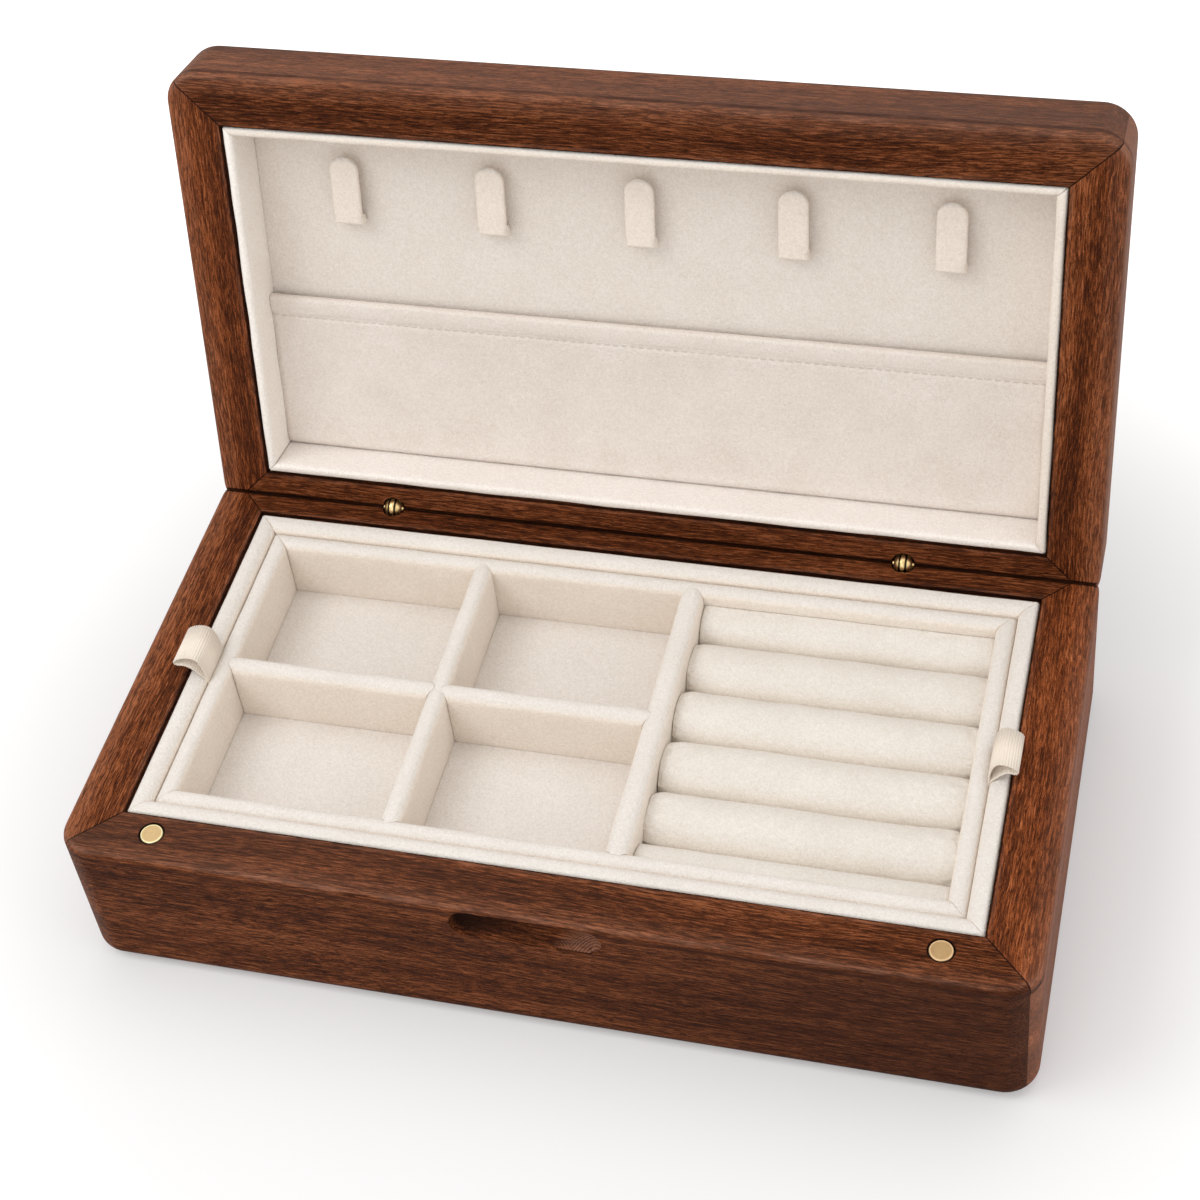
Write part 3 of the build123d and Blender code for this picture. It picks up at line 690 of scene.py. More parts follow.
def round_section(width, height, top_in, top_out, crown=0.0):
    """The outline of a wrapped board across its length, as (across, up) points: inner face at across 0."""
    foot, foot_steps, top_steps, flat = 0.5 * MM, 3, 7, 2.5 * MM
    corners = [
        ((width - foot, foot), foot, -90), ((width - top_out, height - top_out), top_out, 0),
        ((top_in, height - top_in), top_in, 90), ((foot, foot), foot, 180),
    ]
    outline = []
    for (cx, cy), radius, start in corners:
        turns = foot_steps if radius <= foot else top_steps
        for k in range(turns + 1):
            angle = math.radians(start + 90 * k / turns)
            outline.append((cx + radius * math.cos(angle), cy + radius * math.sin(angle)))
    full = []
    for a, b in zip(outline, outline[1:] + outline[:1]):
        parts = max(1, round(math.dist(a, b) / flat))
        full += [(a[0] + (b[0] - a[0]) * k / parts, a[1] + (b[1] - a[1]) * k / parts) for k in range(parts)]
    full = np.array(full)
    middle = 1 - np.abs(full[:, 0] / width * 2 - 1) ** 2
    full[:, 1] += crown * middle * (full[:, 1] > height - max(top_in, top_out) - 1e-6)
    return full


def plump(section, side, start, amount=0.40 * MM):
    """Swells one face of a section (side -1 the inner, 1 the outer) above a height."""
    across, up = section.T
    near = (across < across.max() / 2) if side < 0 else (across > across.max() / 2)
    share = np.clip((up - start) / (4 * MM), 0, 1) * np.clip((up.max() - up) / (2 * MM), 0, 1)
    return np.stack([across + side * amount * share * near, up], axis=1)


def outward(section):
    """The outward direction at each point of a closed outline that runs anticlockwise."""
    along = np.roll(section, -1, axis=0) - np.roll(section, 1, axis=0)
    normal = np.stack([along[:, 1], -along[:, 0]], axis=1)
    return normal / np.maximum(np.linalg.norm(normal, axis=1, keepdims=True), 1e-9)


def shoulder(height, radius):
    """How far a wrapped wall falls back under its rounded top, at a distance up from its foot."""

    def fall(up):
        over = np.clip(up - (height - radius), 0, radius * 0.98)
        return radius - np.sqrt(radius**2 - over**2)

    return fall


def level(up):
    """No fall: an end that meets a flat wall."""
    return np.zeros_like(up)


def taper(radius, angles):
    """How far along a rounded edge its steps lie, from the end inwards."""
    return [radius * (1 - math.cos(math.radians(angle))) for angle in angles]


def tube_faces(rings, count):
    """The faces of a tube, closed at both ends, whose rings have a count of points each."""
    faces = []
    for ring in range(rings - 1):
        for k in range(count):
            a, b = ring * count + k, ring * count + (k + 1) % count
            faces.append((a, b, b + count, a + count))
    last = (rings - 1) * count
    return [*faces, tuple(range(count - 1, -1, -1)), tuple(range(last, last + count))]


def soft_bar(name, section, start, stop, place, material, slopes=(0, 0), ends=(0.9 * MM, 0.9 * MM),
             step=2.5 * MM, uneven=0.10 * MM, seed=0, reach=(level, level)):
    """A padded bar: the section drawn from start to stop, its ends rounded over and mitred by the slopes.

    reach gives how much further an end goes at a distance up, to meet a rounded wall."""
    normals = outward(section)
    length = stop - start
    near, far = (taper(radius, (0, 22, 45, 67, 90)) for radius in ends)
    inner = max(2, round((length - near[-1] - far[-1]) / step))
    middle = np.linspace(near[-1], length - far[-1], inner + 1)
    stations = [*near[:-1], *middle, *[length - d for d in reversed(far[:-1])]]
    points = []
    for at in stations:
        shrink = 0.0
        for radius, distance in zip(ends, (at, length - at)):
            if distance < radius:
                shrink = max(shrink, radius - math.sqrt(max(radius**2 - (radius - distance) ** 2, 0)))
        ring = section - normals * shrink
        low = start + slopes[0] * ring[:, 0] - reach[0](ring[:, 1])
        high = stop + slopes[1] * ring[:, 0] + reach[1](ring[:, 1])
        share = at / length
        if at < length / 2:
            run = low + at + (high - low - length) * share
        else:
            run = high - (length - at) - (high - low - length) * (1 - share)
        points.append(np.stack([run, ring[:, 0], ring[:, 1]], axis=1))
    local = np.concatenate(points)
    fade = np.clip(local[:, 2] / (3 * MM), 0, 1)
    push = ripple(local * [1, 0.6, 1], 26 * MM, uneven, seed) * fade
    directions = np.tile(normals, (len(stations), 1))
    local[:, 1:] += directions * push[:, None]
    return mesh_piece(name, place(local), tube_faces(len(stations), len(section)), material)


def run_along(runs, inner, outwards, foot):
    """Places (along, across, up) on a bar that runs along X or Y; across grows outwards from inner."""

    def place(points):
        along, across = points[:, 0], inner + outwards * points[:, 1]
        flat = [along, across] if runs == "x" else [across, along]
        return np.stack([*flat, foot + points[:, 2]], axis=1)

    return place


def run_in_lid(runs, inner, outwards, deepest):
    """Places (along, across, up) on a bar in the lid, whose foot is at its deepest."""
    in_case = run_along(runs, inner, outwards, -deepest)
    return lambda points: lid_place(in_case(points) * [1, 1, -1])


def slab(name, low, high, material, round_off=0.4 * MM, crown=0.0, cell=THIN_CELL, place=None, uneven=0.0,
         seed=0):
    """A thin pad in a box: rounded over at its edges, a little crowned on top, flat underneath."""

    def steps(start, stop):
        edge = taper(round_off, (0, 30, 60, 90))
        inner = np.linspace(start + edge[-1], stop - edge[-1], max(2, round((stop - start) / cell)) + 1)
        return np.array([*[start + e for e in edge[:-1]], *inner, *[stop - e for e in reversed(edge[:-1])]])

    gx, gy = np.meshgrid(steps(low[0], high[0]), steps(low[1], high[1]), indexing="ij")
    edge = np.minimum(np.minimum(gx - low[0], high[0] - gx), np.minimum(gy - low[1], high[1] - gy))
    near = np.clip(round_off - edge, 0, None)
    drop = round_off - np.sqrt(np.clip(round_off**2 - near**2, 0, None))
    u = (gx - low[0]) / (high[0] - low[0]) * 2 - 1
    v = (gy - low[1]) / (high[1] - low[1]) * 2 - 1
    swell = crown * (1 - u**4) * (1 - v**4)
    flat = np.stack([gx.ravel(), gy.ravel(), np.zeros(gx.size)], axis=1)
    rise = ripple(flat, 30 * MM, uneven, seed).reshape(gx.shape) * np.clip(edge / (2 * MM), 0, 1)
    top = high[2] - drop + swell + rise
    nx, ny = gx.shape
    upper = np.stack([gx, gy, top], axis=2).reshape(-1, 3)
    under = np.stack([gx, gy, np.full_like(gx, low[2])], axis=2).reshape(-1, 3)
    points = np.concatenate([upper, under])
    faces = []
    for a, b, c, d in grid_faces(nx, ny):
        faces += [(a, b, c, d), (nx * ny + d, nx * ny + c, nx * ny + b, nx * ny + a)]
    ring = [i * ny for i in range(nx)] + [(nx - 1) * ny + j for j in range(1, ny)]
    ring += [i * ny + ny - 1 for i in range(nx - 2, -1, -1)] + [j for j in range(ny - 2, 0, -1)]
    for a, b in zip(ring, ring[1:] + ring[:1]):
        faces.append((b, a, nx * ny + a, nx * ny + b))
    return mesh_piece(name, place(points) if place else points, faces, material)


def grid_faces(nx, ny):
    """The faces of a grid of points that run along its columns."""
    corners = [i * ny + j for i in range(nx - 1) for j in range(ny - 1)]
    return [(a, a + ny, a + ny + 1, a + 1) for a in corners]


def simulate(pieces, hold, keep_in, cap, pressure=0.0, gravity=0.0, slack=0.0):
    """Settles soft pieces by cloth simulation and keeps the result in their meshes.

    hold(piece, points) gives the points that stay, keep_in(piece, points) brings points back into the
    piece's own space, and no point moves further than cap."""
    scene = bpy.context.scene
    doubles = []
    for piece in pieces:
        mesh = piece.data.copy()
        mesh.transform(Matrix.Scale(SIM_SCALE, 4))
        double = new_object(f"{piece.name}_cloth", mesh)
        held = double.vertex_groups.new(name="held")
        held.add(np.nonzero(hold(piece, coordinates(piece.data)))[0].tolist(), 1.0, "REPLACE")
        cloth = double.modifiers.new("cloth", "CLOTH")
        cloth.point_cache.frame_start, cloth.point_cache.frame_end = 1, SIM_FRAMES
        settings = cloth.settings
        settings.quality, settings.mass, settings.bending_stiffness = 5, 0.3, 0.6
        settings.tension_stiffness = settings.compression_stiffness = 14.0
        settings.vertex_group_mass = "held"
        settings.shrink_min = -slack
        settings.use_pressure, settings.uniform_pressure_force = pressure > 0, pressure
        settings.effector_weights.gravity = gravity
        doubles.append(double)
    for number in range(1, SIM_FRAMES + 1):
        scene.frame_set(number)
    view = bpy.context.evaluated_depsgraph_get()
    for piece, double in zip(pieces, doubles):
        settled = coordinates(double.evaluated_get(view).data) / SIM_SCALE
        start = coordinates(piece.data)
        move = settled - start
        far = np.linalg.norm(move, axis=1, keepdims=True)
        points = keep_in(piece, start + move * np.minimum(1.0, cap / np.maximum(far, 1e-9)))
        piece.data.vertices.foreach_set("co", points.ravel())
        piece.data.update()
        mesh = double.data
        bpy.data.objects.remove(double)
        bpy.data.meshes.remove(mesh)
    scene.frame_set(1)



def rim_of(points, space, width=0.5 * MM):
    """The points within a width of a space's upright sides."""
    low, high = np.array(space[0][:2]), np.array(space[1][:2])
    return np.minimum(points[:, :2] - low, high - points[:, :2]).min(axis=1) < width


def smooth_once(piece):
    """One live subdivision."""
    finer = piece.modifiers.new("finer", "SUBSURF")
    finer.levels = finer.render_levels = 1


def thicken(piece, name, thickness):
    """Gives a sheet its thickness, half to each side."""
    solid = piece.modifiers.new(name, "SOLIDIFY")
    solid.thickness, solid.offset = thickness, 0.0


def grown(low, high, along, across, rise=0.0):
    """A box made larger along X, across it and upwards: its lowest and its highest corner."""
    return (low.x - along, low.y - across, low.z), (high.x + along, high.y + across, high.z + rise)


# ---- The case's lining ----------------------------------------------------------------------------


def wrap_walls(node, piece, body, cloth, section_of, seed):
    """Wraps the four mitred walls of a case or tray; section_of gives the outline for a width and height."""
    for index, (side, runs, outwards) in enumerate(SIDES):
        low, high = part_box(f"{node}_{side}")
        long, wide = AXES[runs]
        width = high[wide] - low[wide]
        half = high[long] - width
        place = run_along(runs, high[wide] if outwards < 0 else low[wide], outwards, low.z)
        section = section_of(width, high.z - low.z)
        wall = soft_bar(f"{piece}_{side}", section, -half, half, place, cloth, slopes=(-1, 1),
                        ends=(0.5 * MM, 0.5 * MM), uneven=0.04 * MM, seed=seed + index)
        settle_padded(wall, body, f"{node}_{side}")


class DISPLAYBOX_OT_line_case(bpy.types.Operator):
    """Lines the case: four wrapped liners, the floor lining and the tray's two ledges"""

    bl_idname = "display_box.line_case"
    bl_label = "Line the Case"

    def execute(self, context):
        look = context.scene.display_box
        cloth = cloth_of("wall", look)
        wrap_walls("base_liner", "case_liner", "base", cloth, self.liner_section, seed=0)
        low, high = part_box("base_floor_lining")
        lining = slab("case_floor_lining", low, high, cloth_of("floor", look), uneven=0.05 * MM, seed=8)
        settle(lining, "base", "velvet", "base_floor_lining")
        for side, outwards in (("left", -1), ("right", 1)):
            low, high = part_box(f"tray_ledge_{side}")
            section = round_section(high.x - low.x, high.z - low.z, 1.2 * MM, 0.6 * MM)
            place = run_along("y", high.x if outwards < 0 else low.x, outwards, low.z)
            ledge = soft_bar(f"velvet_ledge_{side}", section, low.y, high.y, place, cloth, seed=20 + outwards)
            settle_padded(ledge, "base", f"tray_ledge_{side}")
        return {"FINISHED"}

    @staticmethod
    def liner_section(width, height):
        """A liner's outline, plumper on its inner side near the top."""
        return plump(round_section(width, height, 2.5 * MM, 1.5 * MM, crown=0.15 * MM), -1, start=24 * MM)


# ---- The tray -------------------------------------------------------------------------------------

WALL_ROUND = 2.6 * MM
DIVIDER_ROUND = 2.9 * MM
DIVIDER_CLEAR = 0.03 * MM     # between a divider's end and the wall that it meets
PAD_SPREAD = 0.29 * MM        # how much wider than its solid a pad is, to touch the walls round it
ROLL_SPREAD = 0.12 * MM       # the same for a roll, to press on the next one
ROLL_END = 0.25 * MM


class DISPLAYBOX_OT_wrap_tray(bpy.types.Operator):
    """Wraps the tray's floor, walls and dividers in velvet"""

    bl_idname = "display_box.wrap_tray"
    bl_label = "Wrap the Tray"

    def execute(self, context):
        cloth = cloth_of("wall", context.scene.display_box)
        wrap_walls("tray_wall", "velvet_wall", "tray", cloth, self.wall_section, seed=30)
        floor = slab("velvet_tray_floor", *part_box("tray_floor"), cloth)
        settle_padded(floor, "tray", "tray_floor")
        mid_low, mid_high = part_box("tray_mid_divider")
        height = mid_high.z - mid_low.z
        by_wall, by_divider = shoulder(height, WALL_ROUND), shoulder(height, DIVIDER_ROUND)
        dividers = {"tray_long_divider": "y", "tray_mid_divider": "y", "tray_cross_divider": "x"}
        for node, runs in dividers.items():
            low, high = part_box(node)
            long, wide = AXES[runs]
            width = high[wide] - low[wide]
            section = round_section(width, height, DIVIDER_ROUND, DIVIDER_ROUND, crown=0.1 * MM)
            place = run_along(runs, low[wide], 1, low.z)
            stretches = [(low[long], high[long], by_wall, by_wall)]
            if node == "tray_cross_divider":
                stretches = [(low.x, mid_low.x, by_wall, by_divider)]
                stretches += [(mid_high.x, high.x, by_divider, by_divider)]
            bars = [
                soft_bar(f"{node}_bar_{k}", section, a + DIVIDER_CLEAR, b - DIVIDER_CLEAR, place, cloth,
                         ends=(0.6 * MM, 0.6 * MM), seed=40 + k, reach=(fall_a, fall_b))
                for k, (a, b, fall_a, fall_b) in enumerate(stretches)
            ]
            settle_padded(join_meshes(node.replace("tray", "velvet"), bars), "tray", node)
        return {"FINISHED"}

    @staticmethod
    def wall_section(width, height):
        """A wall's outline, plumper on its outer side."""
        return plump(round_section(width, height, WALL_ROUND, WALL_ROUND, crown=0.1 * MM), 1, start=2 * MM)


class DISPLAYBOX_OT_lay_pads(bpy.types.Operator):
    """Lays a thin padded base in each of the four compartments"""

    bl_idname = "display_box.lay_pads"
    bl_label = "Lay the Compartment Pads"

    def execute(self, context):
        look = context.scene.display_box
        pads, spaces = [], {}
        for number in range(1, 5):
            low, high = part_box(f"compartment_pad_{number}")
            space = grown(low, high, PAD_SPREAD, PAD_SPREAD)
            pad = slab(f"velvet_pad_{number}", *space, cloth_of("floor", look), 0.22 * MM, look.pad_crown,
                       cell=1.6 * MM, uneven=0.08 * MM, seed=60 + number)
            pads.append(pad)
            spaces[pad.name] = grown(low, high, PAD_SPREAD, PAD_SPREAD, rise=0.5 * MM)
        simulate(
            pads,
            hold=lambda pad, p: (p[:, 2] < spaces[pad.name][0][2] + 0.4 * MM) | rim_of(p, spaces[pad.name]),
            keep_in=lambda pad, p: np.clip(p, *spaces[pad.name]),
            cap=0.5 * MM, pressure=2.0,
        )
        for number, pad in enumerate(pads, 1):
            settle_padded(pad, "tray", f"compartment_pad_{number}")
        return {"FINISHED"}


def roll_section(half, top, cut_low, cut_high, power=2.35):
    """The outline of a ring roll across its length: a flattened arch, cut off where a wall stands."""
    centre, draw_in, steps = top - half, 0.4 * MM, 48
    outline = []
    for k in range(steps + 1):
        c, s = math.cos(math.pi * k / steps), math.sin(math.pi * k / steps)
        across, up = (half * math.copysign(abs(part) ** (2 / power), part) for part in (c, s))
        outline.append((across, centre + up))
    for share in (0.25, 0.5, 0.75, 1.0):
        outline.append((-half + draw_in * share, centre - centre * share))
    for share in (-0.6, -0.2, 0.2, 0.6):
        outline.append((half * share, 0.0))
    for share in (1.0, 0.75, 0.5, 0.25):
        outline.append((half - draw_in * share, centre - centre * share))
    outline = np.array(outline)
    outline[:, 0] = np.clip(outline[:, 0], cut_low, cut_high)
    return outline


class DISPLAYBOX_OT_stuff_rolls(bpy.types.Operator):
    """Stuffs the six ring rolls and sets them side by side"""

    bl_idname = "display_box.stuff_rolls"
    bl_label = "Stuff the Ring Rolls"

    def execute(self, context):
        look = context.scene.display_box
        full_low, full_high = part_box("ring_roll_2")
        half = (full_high.y - full_low.y) / 2
        rolls, spaces = [], {}
        for number in range(1, 7):
            low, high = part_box(f"ring_roll_{number}")
            centre = {1: low.y + half, 6: high.y - half}.get(number, (low.y + high.y) / 2)
            edges = (low.y - centre - ROLL_SPREAD, high.y - centre + ROLL_SPREAD)
            section = roll_section(half + ROLL_SPREAD, full_high.z - low.z, *edges)
            roll = soft_bar(f"velvet_roll_{number}", section, low.x - ROLL_END, high.x + ROLL_END,
                            run_along("x", centre, 1, low.z), cloth_of("roll", look),
                            ends=(1.3 * MM, 0.6 * MM), step=1.6 * MM, uneven=0.12 * MM, seed=70 + number)
            rolls.append(roll)
            lowest, highest = grown(low, high, ROLL_END, ROLL_SPREAD)
            spaces[roll.name] = (lowest, (*highest[:2], full_high.z + 0.9 * MM))
        simulate(
            rolls,
            hold=lambda roll, p: p[:, 2] < spaces[roll.name][0][2] + 3 * MM,
            keep_in=lambda roll, p: np.clip(p, *spaces[roll.name]),
            cap=1.2 * MM, pressure=4.0,
        )
        for number, roll in enumerate(rolls, 1):
            smooth_once(roll)
            settle_padded(roll, "tray", f"ring_roll_{number}")
        return {"FINISHED"}


# ---- The lid --------------------------------------------------------------------------------------

LID_CELL = 3 * MM
HEM_SPREAD = 0.27 * MM        # how much wider than their solids the pocket and its hem are
HEM_SLOPE = 0.45 * MM         # how much thinner the hem is at its lower edge
POCKET_GRID = (127, 46, 12)   # points across, up, and of those the ones under the hem
POCKET_CLOTH = 1.0 * MM
POCKET_TURN_IN = 2 * MM       # of its cloth, under the hem
FOOT_TUCK = 1.6 * MM          # how far its foot is tucked towards the board
SEAM_DROP, SEAM_DIMPLE, SEAM_WIDTH = 0.6 * MM, 0.22 * MM, 0.55 * MM    # of the seam, below the hem
STITCH_THREAD, STITCH_LIFT, STITCH_INSET = 0.46 * MM, 0.42 * MM, 1.2 * MM


class DISPLAYBOX_OT_line_lid(bpy.types.Operator):
    """Lines the lid: the velvet board at its back and four wrapped liners"""

    bl_idname = "display_box.line_lid"
    bl_label = "Line the Lid"

    def execute(self, context):
        look = context.scene.display_box
        low, high = lid_box("lid_back_board")
        board = slab(
            "velvet_lid_board", (*low[:2], -high[2]), (*high[:2], -low[2]), cloth_of("floor", look), 0.5 * MM,
            cell=LID_CELL, place=lambda p: lid_place(p * [1, 1, -1]), uneven=0.10 * MM, seed=80,
        )
        settle_padded(board, "lid", "lid_back_board")
        for index, (side, runs, _) in enumerate(SIDES):
            low, high = lid_box(f"lid_liner_{side}")
            long, wide = AXES[runs]
            width = high[wide] - low[wide]
            outwards = 1 if side in ("front", "right") else -1
            place = run_in_lid(runs, low[wide] if outwards > 0 else high[wide], outwards, high[2])
            section = round_section(width, high[2] - low[2], 1.3 * MM, 1.3 * MM, crown=0.1 * MM)
            # the back and left liners take velvets with painted light in them
            cloth = cloth_of(f"lid_{side}" if side in ("back", "left") else "wall", look)
            start, stop = low[long] + width, high[long] - width
            liner = soft_bar(f"velvet_lid_liner_{side}", section, start, stop, place, cloth, slopes=(-1, 1),
                             ends=(0.6 * MM, 0.6 * MM), seed=90 + index)
            settle_padded(liner, "lid", f"lid_liner_{side}")
        return {"FINISHED"}


class DISPLAYBOX_OT_sew_pocket(bpy.types.Operator):
    """Sews the lid's pocket: its cloth, the turned hem and the row of stitches under it"""

    bl_idname = "display_box.sew_pocket"
    bl_label = "Sew the Pocket"

    def execute(self, context):
        look = context.scene.display_box
        cloth = cloth_of("pocket", look)
        low, high = lid_box("lid_pocket")
        hem_low, hem_high = lid_box("lid_pocket_hem")
        seam_line, face = hem_low[1] - SEAM_DROP, low[2] + POCKET_CLOTH / 2
        pocket, height = pocket_cloth(low, high, hem_low[1], seam_line, face, cloth)
        settle(pocket, "lid", "velvet", "lid_pocket")

        thick = hem_high[2] - hem_low[2]
        section = round_section(hem_high[1] - hem_low[1], thick, 0.9 * MM, 1.25 * MM)
        across, up = section.T
        section[:, 1] -= HEM_SLOPE * np.clip(1 - across / (3.2 * MM), 0, 1) ** 2 * (up > thick / 2)
        hem = soft_bar("velvet_pocket_hem", section, hem_low[0] - HEM_SPREAD, hem_high[0] + HEM_SPREAD,
                       run_in_lid("x", hem_low[1], 1, hem_high[2]), cloth, ends=(0.25 * MM, 0.25 * MM),
                       uneven=0.16 * MM, seed=101)
        settle(hem, "lid", "velvet", "lid_pocket_hem")
        thread = stitch_row(look, (hem_low[0], hem_high[0]), seam_line, face - STITCH_LIFT)
        settle(thread, "lid", "ribbon")
        flat_size = (hem_high[0] - hem_low[0], float(height + POCKET_TURN_IN))
        return {"FINISHED"}


def pocket_cloth(low, high, hem_foot, seam_line, face, cloth):
    """The pocket's cloth, settled between its held edges: (piece, its height)."""
    columns, rows, rows_under_hem = POCKET_GRID
    xs = np.linspace(low[0] - HEM_SPREAD, high[0] + HEM_SPREAD, columns)
    open_ups = np.linspace(low[1], hem_foot - 2.2 * MM, rows - rows_under_hem)
    ups = np.concatenate([open_ups, np.linspace(hem_foot - 1.9 * MM, hem_foot + 1.5 * MM, rows_under_hem)])
    gx, gu = np.meshgrid(xs, ups, indexing="ij")
    u = (gx - low[0]) / (high[0] - low[0]) * 2 - 1
    v = (gu - low[1]) / (ups[-1] - low[1])
    flat = np.stack([gx.ravel(), gu.ravel(), np.zeros(gx.size)], axis=1)
    wave = ripple(flat * [1, 0.45, 1], 60 * MM, 0.30 * MM, 5)
    wave += ripple(flat * [1, 1.2, 1], 24 * MM, 0.10 * MM, 6)
    ease = (1 - np.abs(u) ** 6) * np.clip(v * 6, 0, 1) * np.clip((1 - v) * 5, 0, 1)
    drawn_in = SEAM_DIMPLE * np.exp(-(((gu - seam_line) / SEAM_WIDTH) ** 2))
    deep = face + wave.reshape(gx.shape) * ease + drawn_in
    deep += FOOT_TUCK * np.clip(1 - v * rows / 3, 0, 1) ** 2
    points = lid_place(np.stack([gx, gu, deep], axis=2).reshape(-1, 3))
    faces = [(a, d, c, b) for a, b, c, d in grid_faces(columns, rows)]
    pocket = mesh_piece("velvet_pocket", points, faces, cloth)
    held = ((np.abs(u) > 0.985) | (gu < low[1] + 2 * MM) | (gu > seam_line - 1.5 * MM)).ravel()
    simulate([pocket], hold=lambda piece, p: held, keep_in=lambda piece, p: p, cap=1.0 * MM, gravity=0.6,
             slack=0.0006)
    thicken(pocket, "cloth thickness", POCKET_CLOTH)
    return pocket, ups[-1] - low[1]


def geometry_tree(name, inputs):
    """A new geometry tree with named inputs: (group, tree, {name: socket value}, {identifier: setting})."""
    group = bpy.data.node_groups.new(name, "GeometryNodeTree")
    group.interface.new_socket("Geometry", in_out="INPUT", socket_type="NodeSocketGeometry")
    settings = {}
    kinds = {float: "NodeSocketFloat", int: "NodeSocketInt"}
    for label, value in inputs.items():
        kind = kinds.get(type(value), "NodeSocketMaterial")
        socket = group.interface.new_socket(label, in_out="INPUT", socket_type=kind)
        if type(value) in kinds:
            socket.default_value = value
        settings[socket.identifier] = value
    group.interface.new_socket("Geometry", in_out="OUTPUT", socket_type="NodeSocketGeometry")
    tree = Tree(group)
    source = tree.nodes.new("NodeGroupInput")
    values = {socket.name: Value(tree, socket) for socket in source.outputs if socket.name}
    return group, tree, values, settings


def close_tree(tree, geometry, material):
    """Ends a geometry tree in Realize Instances and Set Material."""
    real = tree.node("GeometryNodeRealizeInstances", None, {0: geometry})
    painted = tree.node("GeometryNodeSetMaterial", None, {"Geometry": real, "Material": material})
    tree.end("NodeGroupOutput", painted.socket)


def grow(name, path, group, settings):
    """Runs a geometry tree on a path of straight edges and keeps the result as a plain piece."""
    mesh = bpy.data.meshes.new(f"{name} path")
    mesh.from_pydata([tuple(point) for point in path], [(k, k + 1) for k in range(len(path) - 1)], [])
    base = new_object(mesh.name, mesh)
    modifier = base.modifiers.new(name, "NODES")
    modifier.node_group = group
    for identifier, value in settings.items():
        modifier[identifier] = value
    view = bpy.context.evaluated_depsgraph_get()
    result = bpy.data.meshes.new_from_object(base.evaluated_get(view))
    result.name = name
    base.modifiers.remove(modifier)
    bpy.data.objects.remove(base)
    return new_object(name, result)


def thread_paint(look):
    """Twisted sewing thread."""
    material, tree, shader = new_material("cream_thread")
    twist = tree.noise(tree.spot(), 5200.0, 2.0)
    color = tree.mix(twist, toned(look.ribbon, 0.62), toned(look.ribbon, 0.80))
    plug(tree, shader, Base_Color=color, Roughness=0.6, Sheen_Weight=0.2, Normal=bump(tree, twist, 0.00005))
    return material


def stitch_row(look, across, up, deep):
    """A row of stitches along the hem, made by a geometry tree on one straight edge."""
    inputs = {"Pitch": look.stitch_pitch, "Length": look.stitch_pitch * 0.72, "Thickness": STITCH_THREAD,
              "Seed": 4, "Thread": thread_paint(look)}
    group, tree, value, settings = geometry_tree("pocket stitches", inputs)
    curve = tree.node("GeometryNodeMeshToCurve", None, {0: value["Geometry"]})
    spaced = tree.node("GeometryNodeCurveToPoints", {"mode": "LENGTH"},
                       {"Curve": curve, "Length": value["Pitch"]})
    one = tree.node("GeometryNodeMeshIcoSphere", None, {"Radius": 0.5, "Subdivisions": 2})
    size = tree.join(value["Length"], value["Thickness"], value["Thickness"] * 0.7)
    tilt = tree.node("FunctionNodeRandomValue", {"data_type": "FLOAT_VECTOR"},
                     {0: (-0.02, -0.03, -0.10), 1: (0.02, 0.03, 0.10), "Seed": value["Seed"]})
    set_on = tree.node("GeometryNodeInstanceOnPoints", None,
                       {"Points": spaced, "Instance": one, "Rotation": tilt, "Scale": size})
    close_tree(tree, tree.node("GeometryNodeSetShadeSmooth", None, {0: set_on}), value["Thread"])
    ends = lid_place([[across[0] + STITCH_INSET, up, deep], [across[1] - STITCH_INSET, up, deep]])
    return grow("pocket_stitches", ends, group, settings)


TAB_RING = 40                 # points round a tab
TAB_THICK = 2.2 * MM          # of its free part
TAB_FOOT = 3.6 * MM           # how far up it is fixed to the board
TAB_FOLD = 1.3 * MM           # the radius of its lower edge, and how far its tip thins out


def tab_rings(low, high):
    """The rings of a tab's outline, from its free rounded tip down to its foot on the board."""
    middle, half = (low[0] + high[0]) / 2, (high[0] - low[0]) / 2
    front, board, length = low[2], high[2], high[1] - low[1]
    foot = [length - TAB_FOOT * (1 - k / 14) for k in range(15)]
    turn = 2 * math.pi * np.arange(TAB_RING) / TAB_RING
    across = np.sign(np.cos(turn)) * np.abs(np.cos(turn)) ** 0.42
    through = np.sign(np.sin(turn)) * np.abs(np.sin(turn)) ** 0.62
    rings = []
    for down in (*taper(half, range(0, 91, 9)), *np.linspace(half, foot[0], 10)[1:-1], *foot):
        left = length - down
        width = math.sqrt(max(half**2 - (half - min(down, half)) ** 2, 0)) + 0.02 * MM
        width += 0.40 * MM * np.clip(1 - left / (2.2 * MM), 0, 1) ** 2
        to_board = np.clip((TAB_FOOT - left) / (1.5 * MM), 0, 1)
        back = front + TAB_THICK + (board - front - TAB_THICK) * to_board**2 * (3 - 2 * to_board)
        thinned = TAB_THICK / 2 * (1 - min(1.0, math.sqrt(max(down / TAB_FOLD, 0.03))))
        folded = TAB_FOLD * (1 - math.sqrt(1 - np.clip(1 - left / TAB_FOLD, 0, 0.98) ** 2))
        near, far = front + folded + thinned, back - thinned
        deep = (near + far) / 2 - (far - near) / 2 * through
        rings.append(np.stack([middle + width * across, np.full(TAB_RING, high[1] - down), deep], axis=1))
    return rings


